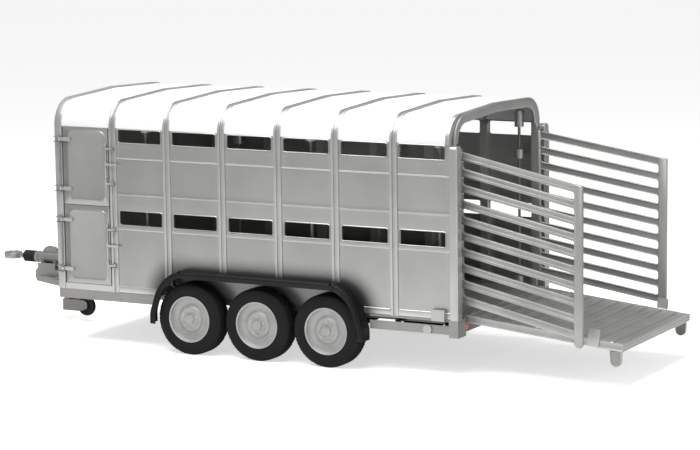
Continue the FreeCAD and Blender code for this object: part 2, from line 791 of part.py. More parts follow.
def gates():
    save("gate_left", [gate(1)])
    save("gate_right", [gate(-1)])
    pin = rod(at(gate_hinge_x, gate_hinge_y, 645), Z, 9, 1455)
    pieces = [pin]
    for z in (645, 2088):
        pieces.append(rod(at(gate_hinge_x, gate_hinge_y, z), Z, 16, 12))
        pieces.append(block(gate_hinge_x - 13, gate_hinge_x + 13, gate_hinge_y, post_inner, z, z + 12))
    lugs = [fused(pieces)]
    latch = block(post_rear - 8, post_rear, 950, 1010, 1390, 1600)
    save("gate_hinge_lugs", both_sides(lugs + [latch]))


chassis_rails()
cross_members()
axle_units()
drawbar_frame()
coupling_tube()
towing_eye()
bellows()
handbrake()
jockey_wheel()
wheels()
mudguards()
floor()
wheel_boxes()
hoops()
portals()
roof_skin()
wall_panels()
slot_frames()
wall_trim()
front_wall()
door_surround()
doors()
deck_rods()
rear_end()
ramp_knuckles()
ramp()
gates()
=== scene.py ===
import math

import bmesh
import bpy
import numpy as np
from mathutils import Matrix, Vector


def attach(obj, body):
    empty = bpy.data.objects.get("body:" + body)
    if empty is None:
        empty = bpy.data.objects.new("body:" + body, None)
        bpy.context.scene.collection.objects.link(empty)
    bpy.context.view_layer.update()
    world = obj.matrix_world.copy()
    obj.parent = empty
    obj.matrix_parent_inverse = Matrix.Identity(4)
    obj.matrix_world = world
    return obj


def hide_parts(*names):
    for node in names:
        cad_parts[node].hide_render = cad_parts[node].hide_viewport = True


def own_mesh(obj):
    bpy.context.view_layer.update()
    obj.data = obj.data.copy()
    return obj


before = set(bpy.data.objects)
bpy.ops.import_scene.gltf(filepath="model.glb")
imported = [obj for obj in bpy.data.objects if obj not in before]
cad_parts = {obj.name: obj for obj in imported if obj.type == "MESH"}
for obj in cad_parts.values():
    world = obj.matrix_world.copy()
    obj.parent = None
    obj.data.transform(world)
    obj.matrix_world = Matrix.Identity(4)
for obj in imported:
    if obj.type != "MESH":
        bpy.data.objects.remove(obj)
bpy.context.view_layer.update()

# Livestock trailer with a drop ramp and two side gates. Metres: +X runs forward, +Y to the left, +Z up.

sides = ((1, "left"), (-1, "right"))


# Shapes worked out as whole arrays.

def skin(points, wrapRows=False, wrapColumns=False, capEnds=False):
    # Rows and columns of points, each square of four neighbours one face; capEnds shuts both end rows.
    rows, columns = points.shape[:2]
    row = np.arange(rows if wrapRows else rows - 1)[:, None]
    column = np.arange(columns if wrapColumns else columns - 1)[None, :]
    nextRow = (row + 1) % rows
    nextColumn = (column + 1) % columns
    corners = (row * columns + column, row * columns + nextColumn,
               nextRow * columns + nextColumn, nextRow * columns + column)
    groups = [np.stack(corners, -1).reshape(-1, 4)]
    if capEnds:
        first = np.arange(columns)
        groups.append(np.stack([first, first + (rows - 1) * columns]))
    return points.reshape(-1, 3), groups


def solid(loops):
    # Outlines joined in order, shut at both ends.
    return skin(np.stack(loops), wrapColumns=True, capEnds=True)


def level(outline, z):
    # A flat outline lifted to one height, or to a height for each point.
    return np.column_stack([outline, np.broadcast_to(z, len(outline))])


def across(x, section):
    # An upright section (y, z) set at one place along the trailer.
    return np.column_stack([np.full(len(section), x), section])


def walled(outer, inner):
    # Two matching grids are the faces of a sheet, and a strip of quads joins their edges all round.
    rows, columns = outer.shape[:2]
    size = rows * columns
    points, (quads,) = skin(outer)
    index = np.arange(size).reshape(rows, columns)
    rim = np.concatenate([index[0], index[1:, -1], index[-1, -2::-1], index[-2:0:-1, 0]])
    after = np.roll(rim, -1)
    strip = np.stack([rim, rim + size, after + size, after], -1)
    both = np.concatenate([outer.reshape(-1, 3), inner.reshape(-1, 3)])
    return both, [quads, quads[:, ::-1] + size, strip]


def joined(parts):
    # One list of points and faces from several, each part's faces counted on from the points before it.
    start = np.cumsum([0] + [len(points) for points, groups in parts])
    groups = [group + start[number] for number, part in enumerate(parts) for group in part[1]]
    return np.concatenate([points for points, groups in parts]), groups


def moved(part, change):
    # The same faces, with every point put where the change says.
    return change(part[0]), part[1]


def flipped(part):
    # The same part on the other side, with y turned to minus y.
    return moved(part, lambda points: points * (1, -1, 1))


def onBothSides(parts):
    # The parts and their mirror images.
    return parts + [flipped(part) for part in parts]


def mirroredPairs(half):
    # A section of (radius, height) pairs, then the same pairs back again at the opposite height.
    return half + [(radius, -height) for radius, height in reversed(half)]


spinAxes = {
    "x": ((0, 1, 0), (0, 0, 1), (1, 0, 0)),
    "y": ((0, 0, 1), (1, 0, 0), (0, 1, 0)),
    "z": ((1, 0, 0), (0, 1, 0), (0, 0, 1)),
}


def turned(profile, centre, axis, steps=32, closed=False, dent=None):
    # Centre + radius (u cos + v sin) + height w, for each pair of radius and height; dent changes the height.
    u, v, w = np.array(spinAxes[axis], float)
    angle = np.linspace(0, 2 * math.pi, steps, endpoint=False)[None, :, None]
    pairs = np.asarray(profile, float)
    radius = pairs[:, 0, None, None] + 0 * angle
    height = pairs[:, 1, None, None] + 0 * angle
    if dent:
        radius, height = dent(radius, height, angle)
    points = np.array(centre, float) + radius * (np.cos(angle) * u + np.sin(angle) * v) + height * w
    return skin(points, wrapRows=closed, wrapColumns=True, capEnds=not closed)


def sleeve(bore, outer, low, high, cut, bevel):
    # A short tube's section, its outer edges cut back by one amount in radius and another in height.
    lower = [(bore, low), (outer - cut, low), (outer, low + bevel)]
    return lower + [(outer, high - bevel), (outer - cut, high), (bore, high)]


def bar(low, high):
    # An upright four-cornered outline at two heights.
    outline = np.array([(low[0], low[1]), (high[0], low[1]), (high[0], high[1]), (low[0], high[1])])
    return solid([level(outline, z) for z in (low[2], high[2])])


def roundedLoop(x0, x1, z0, z1, radius, steps=5):
    # Round a rectangle, each corner a quarter circle.
    angle = np.linspace(0, math.pi / 2, steps + 1) + math.pi / 2 * np.array([-1, 0, 1, 2])[:, None]
    cornerX = np.array([x1 - radius, x1 - radius, x0 + radius, x0 + radius])[:, None]
    cornerZ = np.array([z0 + radius, z1 - radius, z1 - radius, z0 + radius])[:, None]
    loop = np.stack([cornerX + radius * np.cos(angle), cornerZ + radius * np.sin(angle)], -1)
    return loop.reshape(-1, 2)


def facingOut(x, z, depth):
    # An outline (x, z) standing upright at the given y.
    return np.stack([x, np.full_like(x, depth), z], -1)


def facingUp(x, y, depth):
    # An outline (x, y) lying level at the given z.
    return np.stack([x, y, np.full_like(x, depth)], -1)


def pressed(rings, placed, closed=False, steps=5):
    # Rounded outlines one inside another, each at its own depth, joined in order like a pressing.
    loops = [placed(*roundedLoop(*ring[:5], steps).T, ring[5]) for ring in rings]
    return skin(np.stack(loops), wrapRows=closed, wrapColumns=True, capEnds=not closed)


def smoothLine(points, count):
    # Cubic stretches through the points, with each slope taken from the two neighbours.
    points = np.asarray(points, float)
    spot = np.linspace(0, len(points) - 1, count)
    first = np.minimum(spot.astype(int), len(points) - 2)
    t = (spot - first)[:, None]
    padded = np.vstack([2 * points[0] - points[1], points, 2 * points[-1] - points[-2]])
    a, b, c, d = (padded[first + step] for step in range(4))
    return (2 * b + (c - a) * t + (2 * a - 5 * b + 4 * c - d) * t**2 + (3 * b - a - 3 * c + d) * t**3) / 2


def offsetGrid(points, distance):
    # Each point moves along the cross product of the grid's two directions.
    normal = np.cross(np.gradient(points, axis=0), np.gradient(points, axis=1))
    return points + distance * normal / np.linalg.norm(normal, axis=-1)[..., None]


# Finishes.

# A finish's arch sets how dark the painted shade and painted reflection of the mudguard lie on it near the
# wheels.
looks = {
    "panel_aluminium": dict(
        base=(0.345, 0.345, 0.335), shade=(0.305, 0.305, 0.295), speck=(0.40, 0.40, 0.39),
        worn=(0.48, 0.48, 0.47), wear=0.25, clouds=2.2, grain=160.0, stretch=(1, 1, 9), rough=(0.27, 0.38),
        bump=0.08, depth=0.0005, metal=0.7, arch=0.88),
    "frame_aluminium": dict(
        base=(0.41, 0.41, 0.40), shade=(0.35, 0.35, 0.34), speck=(0.48, 0.48, 0.47),
        worn=(0.62, 0.62, 0.61), wear=0.4, clouds=3.0, grain=190.0, stretch=(1, 1, 5), rough=(0.26, 0.40),
        bump=0.10, depth=0.0006, metal=0.7, arch=0.55),
    "roof_sheet": dict(
        base=0.66, shade=0.62, speck=0.70, worn=0.74, wear=0.2, clouds=1.6, grain=120.0, rough=(0.30, 0.42),
        bump=0.06, depth=0.0006, metal=0.1, shine=0.3),
    "gate_aluminium": dict(
        base=(0.31, 0.31, 0.30), shade=(0.25, 0.25, 0.24), speck=(0.38, 0.38, 0.37),
        worn=(0.60, 0.60, 0.58), wear=0.5, clouds=3.5, grain=210.0, stretch=(6, 1, 1), rough=(0.32, 0.46),
        bump=0.14, depth=0.0007, metal=0.6),
    "galvanised_steel": dict(
        base=(0.21, 0.207, 0.195), shade=(0.165, 0.162, 0.152), speck=(0.27, 0.265, 0.25),
        worn=(0.36, 0.355, 0.34), wear=0.3, clouds=5.0, grain=150.0, rough=(0.42, 0.6), bump=0.2,
        depth=0.0009, metal=0.4, spangle=55.0),
    "painted_steel": dict(
        base=(0.24, 0.24, 0.235), shade=(0.20, 0.20, 0.195), speck=(0.30, 0.30, 0.29),
        worn=(0.45, 0.45, 0.44), wear=0.4, clouds=6.0, grain=220.0, rough=(0.34, 0.5), bump=0.12,
        depth=0.0006, metal=0.4),
    "forged_steel": dict(
        base=(0.30, 0.295, 0.28), shade=(0.23, 0.225, 0.215), speck=(0.38, 0.375, 0.36),
        worn=(0.55, 0.54, 0.53), wear=0.5, clouds=9.0, grain=260.0, rough=(0.32, 0.5), bump=0.25,
        depth=0.0009, metal=0.6),
    "rim_steel": dict(
        base=(0.33, 0.33, 0.325), shade=(0.28, 0.28, 0.275), speck=(0.38, 0.38, 0.375), worn=0.52, wear=0.4,
        clouds=7.0, grain=240.0, rough=(0.42, 0.54), bump=0.10, depth=0.0005, metal=0.35),
    "gloss_black": dict(
        base=0.007, shade=0.005, speck=0.012, worn=0.05, wear=0.4, clouds=3.0, grain=180.0,
        rough=(0.30, 0.44), bump=0.10, depth=0.0006, metal=0.0, shine=0.14),
    "tyre": dict(
        base=0.008, shade=0.006, speck=(0.014, 0.014, 0.013), worn=(0.035, 0.035, 0.034), wear=0.4,
        clouds=9.0, grain=300.0, rough=(0.62, 0.82), bump=0.3, depth=0.0008, metal=0.0, shine=0.16),
    "black_rubber": dict(
        base=0.010, shade=0.007, speck=0.02, worn=(0.04, 0.04, 0.038), wear=0.4, clouds=12.0, grain=320.0,
        rough=(0.45, 0.65), bump=0.25, depth=0.0006, metal=0.0, shine=0.25),
    "floor_board": dict(
        base=(0.14, 0.14, 0.135), shade=(0.10, 0.10, 0.095), speck=(0.19, 0.19, 0.18),
        worn=(0.22, 0.22, 0.21), wear=0.2, clouds=2.5, grain=90.0, stretch=(1, 7, 1), rough=(0.5, 0.7),
        bump=0.3, depth=0.0012, metal=0.1),
    "brown_rod": dict(
        base=(0.20, 0.165, 0.145), shade=(0.15, 0.12, 0.10), speck=(0.28, 0.235, 0.21),
        worn=(0.36, 0.31, 0.27), wear=0.3, clouds=8.0, grain=200.0, stretch=(1, 1, 0.2), rough=(0.34, 0.5),
        bump=0.15, depth=0.0006, metal=0.35),
    "red_lens": dict(
        base=(0.52, 0.012, 0.012), shade=(0.40, 0.008, 0.008), speck=(0.66, 0.03, 0.025),
        worn=(0.62, 0.10, 0.09), wear=0.2, clouds=30.0, grain=500.0, rough=(0.12, 0.24), bump=0.2,
        depth=0.0006, metal=0.0, coat=0.6),
}


# Painted shade and painted reflection of the mudguard on the walls: where they lie round the wheel arch, and
# the dark colour laid on.
archShade = dict(halfLength=0.90, height=0.55, full=0.20, gone=0.44, colour=0.012)


def newFinish(name, look):
    # Base to shade by slow clouds, specks from the grain, worn where the form turns, and a painted shade and
    # painted reflection of the mudguard darkening it by the wheels.
    material = bpy.data.materials.new(name)
    material.use_nodes = True
    nodes = material.node_tree.nodes
    link = material.node_tree.links.new
    shader = nodes["Principled BSDF"]
    shader.inputs["Metallic"].default_value = look["metal"]
    shader.inputs["Coat Weight"].default_value = look.get("coat", 0.0)
    shader.inputs["Coat Roughness"].default_value = 0.15
    shader.inputs["Specular IOR Level"].default_value = look.get("shine", 0.5)
    place = nodes.new("ShaderNodeTexCoord").outputs["Object"]
    pull = nodes.new("ShaderNodeMapping")
    pull.inputs["Scale"].default_value = look.get("stretch", (1, 1, 1))
    link(place, pull.inputs["Vector"])

    def noise(source, scale, detail):
        # A noise value at the given scale.
        node = nodes.new("ShaderNodeTexNoise")
        node.inputs["Scale"].default_value = scale
        node.inputs["Detail"].default_value = detail
        link(source, node.inputs["Vector"])
        return node.outputs["Fac"]

    def ranged(value, low, high, toLow, toHigh):
        # A straight line from one span of values to another, held at both ends.
        node = nodes.new("ShaderNodeMapRange")
        node.inputs["From Min"].default_value = low
        node.inputs["From Max"].default_value = high
        node.inputs["To Min"].default_value = toLow
        node.inputs["To Max"].default_value = toHigh
        link(value, node.inputs["Value"])
        return node.outputs["Result"]

    def blended(factor, first, second):
        # Between two colours, each a grey level, three levels or another node's colour.
        node = nodes.new("ShaderNodeMix")
        node.data_type = "RGBA"
        link(factor, node.inputs["Factor"])
        for value, socket in ((first, node.inputs[6]), (second, node.inputs[7])):
            if isinstance(value, float):
                value = (value,) * 3
            if isinstance(value, tuple):
                socket.default_value = value + (1.0,)
            else:
                link(value, socket)
        return node.outputs[2]

    def sums(operation, first, second):
        # One step of arithmetic on two values, each a number or another node's value.
        node = nodes.new("ShaderNodeMath")
        node.operation = operation
        for value, socket in zip((first, second), node.inputs):
            if isinstance(value, float):
                socket.default_value = value
            else:
                link(value, socket)
        return node.outputs[0]

    def paintedGuardShade(depth):
        # Painted shade and painted reflection of the black mudguard: darkest under the mudguard, fading just
        # above it; the distance from a flat-topped arch in x and z.
        apart = nodes.new("ShaderNodeSeparateXYZ")
        link(place, apart.inputs["Vector"])
        forward = sums("ABSOLUTE", apart.outputs["X"], 0.0)
        forward = sums("MAXIMUM", sums("SUBTRACT", forward, archShade["halfLength"]), 0.0)
        above = sums("MAXIMUM", sums("SUBTRACT", apart.outputs["Z"], archShade["height"]), 0.0)
        squares = sums("ADD", sums("MULTIPLY", forward, forward), sums("MULTIPLY", above, above))
        away = sums("SQRT", squares, 0.0)
        shadow = nodes.new("ShaderNodeMapRange")
        shadow.interpolation_type = "SMOOTHSTEP"
        shadow.inputs["From Min"].default_value = archShade["full"]
        shadow.inputs["From Max"].default_value = archShade["gone"]
        shadow.inputs["To Min"].default_value = depth
        shadow.inputs["To Max"].default_value = 0.0
        link(away, shadow.inputs["Value"])
        return shadow.outputs["Result"]

    clouds = noise(place, look["clouds"], 4.0)
    grain = noise(pull.outputs["Vector"], look["grain"], 6.0)
    colour = blended(ranged(clouds, 0.36, 0.64, 0.0, 1.0), look["base"], look["shade"])
    colour = blended(ranged(grain, 0.52, 0.72, 0.0, 0.7), colour, look["speck"])
    if "spangle" in look:
        cells = nodes.new("ShaderNodeTexVoronoi")
        cells.inputs["Scale"].default_value = look["spangle"]
        link(place, cells.inputs["Vector"])
        tone = nodes.new("ShaderNodeSeparateColor")
        link(cells.outputs["Color"], tone.inputs["Color"])
        colour = blended(ranged(tone.outputs["Red"], 0.0, 1.0, 0.0, 0.35), colour, look["speck"])
    point = nodes.new("ShaderNodeNewGeometry").outputs["Pointiness"]
    colour = blended(ranged(point, 0.52, 0.62, 0.0, look["wear"]), colour, look["worn"])
    # Painted shade and painted reflection of the mudguard, laid into the colour near the wheels.
    if "arch" in look:
        colour = blended(paintedGuardShade(look["arch"]), colour, archShade["colour"])
    link(colour, shader.inputs["Base Color"])
    link(ranged(grain, 0.3, 0.7, *look["rough"]), shader.inputs["Roughness"])
    bump = nodes.new("ShaderNodeBump")
    bump.inputs["Strength"].default_value = look["bump"]
    bump.inputs["Distance"].default_value = look["depth"]
    link(grain, bump.inputs["Height"])
    link(bump.outputs["Normal"], shader.inputs["Normal"])
    return material


finishes = {name: newFinish(name, look) for name, look in looks.items()}
print("finishes", len(finishes))

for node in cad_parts.values():
    for place in node.material_slots:
        place.material = finishes[place.material.name.split(".")[0]]


def makePiece(name, parts, body, slotName, replaced=(), bevel=0.0, sharp=38, segments=2):
    # One mesh from all the parts, faces turned outwards, on its body in place of the nodes it replaces.
    points, groups = joined(parts)
    mesh = bpy.data.meshes.new(name)
    mesh.from_pydata(points.tolist(), [], [face for group in groups for face in group.tolist()])
    shell = bmesh.new()
    shell.from_mesh(mesh)
    bmesh.ops.recalc_face_normals(shell, faces=shell.faces)
    shell.to_mesh(mesh)
    shell.free()
    mesh.shade_smooth()
    if not bevel:
        mesh.set_sharp_from_angle(angle=math.radians(sharp))
    mesh.materials.append(finishes[slotName])
    piece = bpy.data.objects.new(name, mesh)
    bpy.context.scene.collection.objects.link(piece)
    if bevel:
        edges = piece.modifiers.new("rounded edges", "BEVEL")
        edges.width = bevel
        edges.segments = segments
        edges.limit_method = "ANGLE"
        edges.angle_limit = math.radians(sharp)
        edges.harden_normals = True
    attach(piece, body)
    if replaced:
        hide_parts(*replaced)
    print("made", name, len(mesh.polygons), "faces")
    return piece


# Roof, hoops and end portals.

roof = dict(cornerZ=2.150, slope=math.radians(2.2), outer=0.260, skinOuter=0.248, skinInner=0.244,
            rear=-1.956, front=2.211, bulge=0.002)
hoop = dict(
    firstX=-2.035, pitch=0.610, count=6, postHalf=0.040, bowHalf=0.036, postDepth=0.070, bowDepth=0.013,
    groove=0.010, grooveHalf=0.012, lowZ=0.537, postPoints=(1.5, 2.10), sunk=0.004, toeShift=-0.014,
    innerHalf=0.016, innerDepth=0.026)


def hoopPath(radius, lowPoints=(), arcSteps=12, slopeSteps=3, cornerY=0.755):
    # Up the left post, round the shoulder, over the ridge and down: places (y, z) and outward directions.
    angle = np.linspace(0, math.pi / 2 - roof["slope"], arcSteps)
    away = np.column_stack([np.cos(angle), np.sin(angle)])
    shoulder = np.array([cornerY, roof["cornerZ"]]) + radius * away
    ridge = roof["cornerZ"] + (radius + cornerY * math.sin(roof["slope"])) / math.cos(roof["slope"])
    share = np.linspace(0, 1, slopeSteps + 1)[1:, None]
    flat = shoulder[-1] + share * (np.array([0.0, ridge]) - shoulder[-1])
    flatAway = np.repeat(away[-1:], slopeSteps, 0)
    flatAway[-1] = (0.0, 1.0)
    post = np.array([(cornerY + radius, z) for z in lowPoints]).reshape(-1, 2)
    postAway = np.repeat([(1.0, 0.0)], len(post), 0)
    left = np.vstack([post, shoulder, flat])
    leftAway = np.vstack([postAway, away, flatAway])
    mirror = np.array([-1.0, 1.0])
    return np.vstack([left, left[-2::-1] * mirror]), np.vstack([leftAway, leftAway[-2::-1] * mirror])


def overRoof(profile, path, away):
    # Pairs of (place along the trailer, distance out) are set at every point of the hoop path.
    profile = np.broadcast_to(profile, (len(path),) + np.shape(profile)[-2:])
    y = path[:, :1] + away[:, :1] * profile[..., 1]
    z = path[:, 1:] + away[:, 1:] * profile[..., 1]
    return skin(np.stack([profile[..., 0], y, z], -1), wrapColumns=True, capEnds=True)


guard = dict(
    lip=[
        (1.153, 0.290), (1.150, 0.400), (1.122, 0.487), (1.094, 0.573), (1.063, 0.634), (1.009, 0.706),
        (0.937, 0.762), (0.860, 0.795), (0.690, 0.806)],
    wallLine=[
        (1.160, 0.290), (1.158, 0.400), (1.130, 0.490), (1.101, 0.577), (1.069, 0.640), (1.014, 0.713),
        (0.940, 0.770), (0.862, 0.803), (0.690, 0.814)],
    dome=[(1.003, 1.0), (1.060, 0.97), (1.100, 0.92), (1.128, 0.75), (1.140, 0.45), (1.1445, 0.0)],
    fascia=[
        (1.1472, 0.003), (1.1485, 0.008), (1.147, 0.011), (1.144, 0.013), (1.143, 0.016), (1.145, 0.020),
        (1.148, 0.023), (1.148, 0.036), (1.146, 0.040), (1.146, 0.043), (1.1485, 0.046), (1.1485, 0.052),
        (1.145, 0.055), (1.138, 0.055)],
    thick=0.0035, reach=1.10, curveStarts=0.9)


def guardTop(x):
    # Height of the mudguard where it meets the wall.
    spots = np.array(guard["wallLine"][::-1])
    return float(np.interp(abs(x), spots[:, 0], spots[:, 1]))


def hoopProfile(x, half, depth, shift):
    # A top-hat channel with a sunk groove down its middle, drawn on one side and mirrored.
    g = hoop["grooveHalf"]
    drawn = [(half, -depth), (half, shift - 0.005), (half - 0.0015, shift - 0.0015), (half - 0.005, shift),
             (g + 0.004, shift), (g + 0.001, shift - 0.002), (g - 0.001, shift - hoop["groove"])]
    return [(x - out, up) for out, up in drawn] + [(x + out, up) for out, up in reversed(drawn)]


hoopParts = []
for number in range(1, hoop["count"] + 1):
    x = hoop["firstX"] + hoop["pitch"] * number
    overGuard = abs(x) < guard["reach"]
    edge = hoop["postHalf"] if abs(x) > guard["curveStarts"] else 0.0
    stand = guardTop(abs(x) + edge) - hoop["sunk"] if overGuard else hoop["lowZ"]
    toe = (stand - 0.010, stand - 0.001) if overGuard else ()
    lowPoints = toe + (stand,) + hoop["postPoints"]
    path, away = hoopPath(roof["outer"], lowPoints)
    profiles = np.array([hoopProfile(x, hoop["bowHalf"], hoop["bowDepth"], 0.0)] * len(path))
    posts = len(lowPoints)
    for spot in list(range(posts)) + list(range(-posts, 0)):
        shift = hoop["toeShift"] if overGuard and spot in (0, 1, -1, -2) else 0.0
        profiles[spot] = hoopProfile(x, hoop["postHalf"], hoop["postDepth"], shift)
    hoopParts.append(overRoof(profiles, path, away))
    inner, innerAway = hoopPath(roof["skinInner"])
    bow = roundedLoop(x - hoop["innerHalf"], x + hoop["innerHalf"], -hoop["innerDepth"], 0.0, 0.004, 2)
    hoopParts.append(overRoof(bow, inner, innerAway))
makePiece("roofHoops", hoopParts, "trailer", "frame_aluminium", ["hoops"])


def portal(x0, x1, radius, depth, low, cornerY=0.755):
    # A rounded box section carried over the whole portal path.
    path, away = hoopPath(radius, low, cornerY=cornerY)
    return overRoof(roundedLoop(x0, x1, -depth, 0.0, 0.008, 3), path, away)


def cornerPost(y0, y1, x0, x1, high, crown):
    # An upright tube with rounded corners; its top draws in over the crown height in three steps.
    low = hoop["lowZ"]
    middle = np.array([(x0 + x1) / 2, (y0 + y1) / 2])
    outline = roundedLoop(x0, x1, y0, y1, 0.010, 4)
    steps = ((low, 1.0), (high - crown, 1.0), (high - crown * 0.45, 0.95), (high - crown * 0.1, 0.82),
             (high, 0.62))
    return solid([level(middle + (outline - middle) * share, z) for z, share in steps])


rear = dict(
    postRear=-2.085, postFront=-2.000, postOuter=1.030, postInner=0.933, postTop=2.132, lipRear=-2.018,
    ringRear=-1.998, ringFront=-1.955, jamb=0.890, ringOuter=0.993, jambTop=2.152, lipCornerY=0.685)
rearParts = [portal(rear["ringRear"], rear["ringFront"], roof["outer"], 0.082, ()),
             portal(rear["lipRear"], rear["ringRear"], 0.248, 0.075, (), rear["lipCornerY"]),
             portal(-2.010, -2.006, 0.252, 0.020, (), rear["lipCornerY"])]
posts = [(rear["postInner"], rear["postOuter"], rear["postRear"], rear["postFront"], rear["postTop"], 0.026),
         (rear["jamb"], rear["postInner"], rear["lipRear"], rear["ringFront"], rear["jambTop"], 0.001),
         (rear["postInner"], rear["ringOuter"], rear["ringRear"], rear["ringFront"], rear["jambTop"], 0.001)]
rearParts += onBothSides([cornerPost(*post) for post in posts])
makePiece("rearPortal", rearParts, "trailer", "frame_aluminium", ["rear_portal"])
caps = [bar((-2.079, 0.939, 2.1305), (-2.006, 1.024, 2.136)),
        bar((-2.0875, 1.004, 0.560), (-2.070, 1.0325, 2.060))]
makePiece("postCaps", onBothSides(caps), "trailer", "frame_aluminium", bevel=0.004, segments=3)
front = dict(rear=2.210, front=2.290, depth=0.060, postPoints=(0.537, 1.3, 2.10))
frontParts = [portal(front["rear"], front["front"], roof["outer"], front["depth"], front["postPoints"])]
makePiece("frontPortal", frontParts, "trailer", "frame_aluminium", ["front_portal"])


def roofSheet():
    # Skin between the portals, swelling out a little between hoops: bulge times the square of a sine.
    path, away = hoopPath(roof["skinOuter"], (), 14, 5)
    x = np.linspace(roof["rear"], roof["front"], 71)
    swell = roof["bulge"] * np.sin(math.pi * (x - hoop["firstX"]) / hoop["pitch"]) ** 2
    sheets = []
    for sink in (0.0, roof["skinInner"] - roof["skinOuter"]):
        out = swell[None, :] + sink
        y = path[:, :1] + away[:, :1] * out
        z = path[:, 1:] + away[:, 1:] * out
        sheets.append(np.stack([np.broadcast_to(x, y.shape), y, z], -1))
    return walled(*sheets)


makePiece("roofSheet", [roofSheet()], "trailer", "roof_sheet", ["roof_skin"])
print("roof done")


# Side walls.

wall = dict(
    y=1.003, thick=0.006, low=0.537, slotLow=(1.210, 1.345), slotHigh=(2.013, 2.138), border=0.015,
    slotLength=0.480, slotCorner=0.018, swage=1.510, swageHalf=0.012, swell=0.0015, firstSlot=-1.710,
    beads=(1.168, 1.860), beadHalf=0.008, skirt=(0.538, 0.603), skirtStart=1.106)
arch = dict(flatHalf=0.744, reach=0.390, foot=0.400, rise=0.401)


def archHeight(x):
    # Over the wheels: a flat top with a quarter ellipse at each end.
    reach = np.clip(np.abs(x) - arch["flatHalf"], 0, arch["reach"]) / arch["reach"]
    curve = arch["foot"] + arch["rise"] * np.sqrt(1 - reach**2)
    inside = np.abs(x) < arch["flatHalf"] + arch["reach"]
    return np.where(inside, np.maximum(curve, wall["low"]), wall["low"])


def bayEdges(number):
    # Between two hoop posts; the first bay starts at the rear ring and the last ends at the front portal.
    x0 = hoop["firstX"] + hoop["pitch"] * (number - 1) + hoop["postHalf"]
    x1 = hoop["firstX"] + hoop["pitch"] * number - hoop["postHalf"]
    return (rear["ringRear"] if number == 1 else x0), (front["rear"] if number > hoop["count"] else x1)


def wallSheet(x0, x1, low, high, side, ridge):
    # A sheet that swells gently in its middle, with a half-round line pressed in at the swage height.
    bend = arch["flatHalf"] + arch["reach"] * np.cos(np.linspace(0, math.pi / 2, 12))
    x = np.concatenate([np.linspace(x0, x1, 13), bend, -bend])
    x = np.unique(np.round(x[(x >= x0) & (x <= x1)], 5))
    rows = np.linspace(0, 1, 11)
    if ridge:
        line = wall["swage"] + np.linspace(-wall["swageHalf"], wall["swageHalf"], 9)
        rows = np.unique(np.concatenate([rows, (line - low) / (high - low)]))
    bottom = archHeight(x) if low == wall["low"] else np.full_like(x, low)
    z = bottom[None, :] + rows[:, None] * (high - bottom[None, :])
    share = (x - x0) / (x1 - x0)
    y = wall["y"] + wall["swell"] * np.sin(math.pi * share)[None, :] * np.sin(math.pi * rows)[:, None]
    if ridge:
        y = y + 0.004 * np.exp(-(((z - wall["swage"]) / 0.006) ** 2))
    outer = np.stack([np.broadcast_to(x, z.shape), side * y, z], -1)
    inner = outer - np.array([0, side * wall["thick"], 0])
    return walled(outer, inner)


def slotFrame(x0, x1, middle, low, high, side):
    # The wall round an opening, with a rolled lip that stands proud and turns into the hole.
    a, b = middle - wall["slotLength"] / 2, middle + wall["slotLength"] / 2
    top = min(high + wall["border"], roof["cornerZ"])
    bottom = low - wall["border"]
    r = wall["slotCorner"]
    rings = [(x0, x1, bottom, top, 0.001, 1.003)]
    for grow, depth in ((0.011, 1.003), (0.009, 1.0065), (0.006, 1.0085), (0.003, 1.008), (0.0, 1.005),
                        (0.0, 0.997), (0.003, 0.994), (0.009, 0.9945)):
        rings.append((a - grow, b + grow, low - grow, high + grow, r + grow, depth))
    rings.append((x0, x1, bottom, top, 0.001, 0.997))
    return pressed([ring[:5] + (ring[5] * side,) for ring in rings], facingOut, closed=True, steps=6)


def trimBead(x0, x1, z0, z1, proud, side):
    # A low half-round moulding with square ends.
    angle = np.linspace(0, math.pi, 7)
    y = wall["y"] - 0.001 + (proud + 0.001) * np.sin(angle) ** 0.6
    z = (z0 + z1) / 2 - (z1 - z0) / 2 * np.cos(angle)
    section = np.column_stack([side * y, z])
    return solid([across(x0, section), across(x1, section)])


for side, sideName, lastBay in ((1, "left", 6), (-1, "right", 7)):
    sheets = []
    frames = []
    beads = []
    for number in range(1, lastBay + 1):
        x0, x1 = bayEdges(number)
        sheets.append(wallSheet(x0, x1, wall["low"], wall["slotLow"][0] - wall["border"], side, False))
        sheets.append(wallSheet(x0, x1, wall["slotLow"][1] + wall["border"],
                                wall["slotHigh"][0] - wall["border"], side, True))
        middle = wall["firstSlot"] if number == 1 else hoop["firstX"] + hoop["pitch"] * (number - 0.5)
        frames.append(slotFrame(x0, x1, middle, *wall["slotLow"], side))
        frames.append(slotFrame(x0, x1, middle, *wall["slotHigh"], side))
        for z in wall["beads"]:
            beads.append(trimBead(x0, x1, z - wall["beadHalf"], z + wall["beadHalf"], 0.005, side))
        if max(abs(x0), abs(x1)) > 1.11:
            start = wall["skirtStart"]
            a, b = (max(x0, start), x1) if x1 > 0 else (x0, min(x1, -start))
            beads.append(trimBead(a, b, *wall["skirt"], 0.006, side))
    makePiece("wallSheets_" + sideName, sheets, "trailer", "panel_aluminium", ["wall_panels_" + sideName])
    both = (["slot_frames"], ["wall_trim"]) if side > 0 else ([], [])
    makePiece("slotFrames_" + sideName, frames, "trailer", "panel_aluminium", both[0])
    makePiece("wallBeads_" + sideName, beads, "trailer", "frame_aluminium", both[1])
print("walls done")


# Two-leaf side door.

door = dict(x0=1.680, x1=2.200, hingeX=2.222, hingeY=1.034, lockX=1.697, lockY=1.022, pin=0.00805,
            fieldRear=1.711, fieldFront=2.147, fieldCorner=0.062)
doorLeaves = {
    "upper": dict(low=1.381, high=2.138, panel=(1.420, 2.114), hinges=(1.534, 2.020), guides=(1.606, 1.948)),
    "lower": dict(low=0.600, high=1.375, panel=(0.631, 1.337), hinges=(0.739, 1.227), guides=(0.800, 1.154)),
}


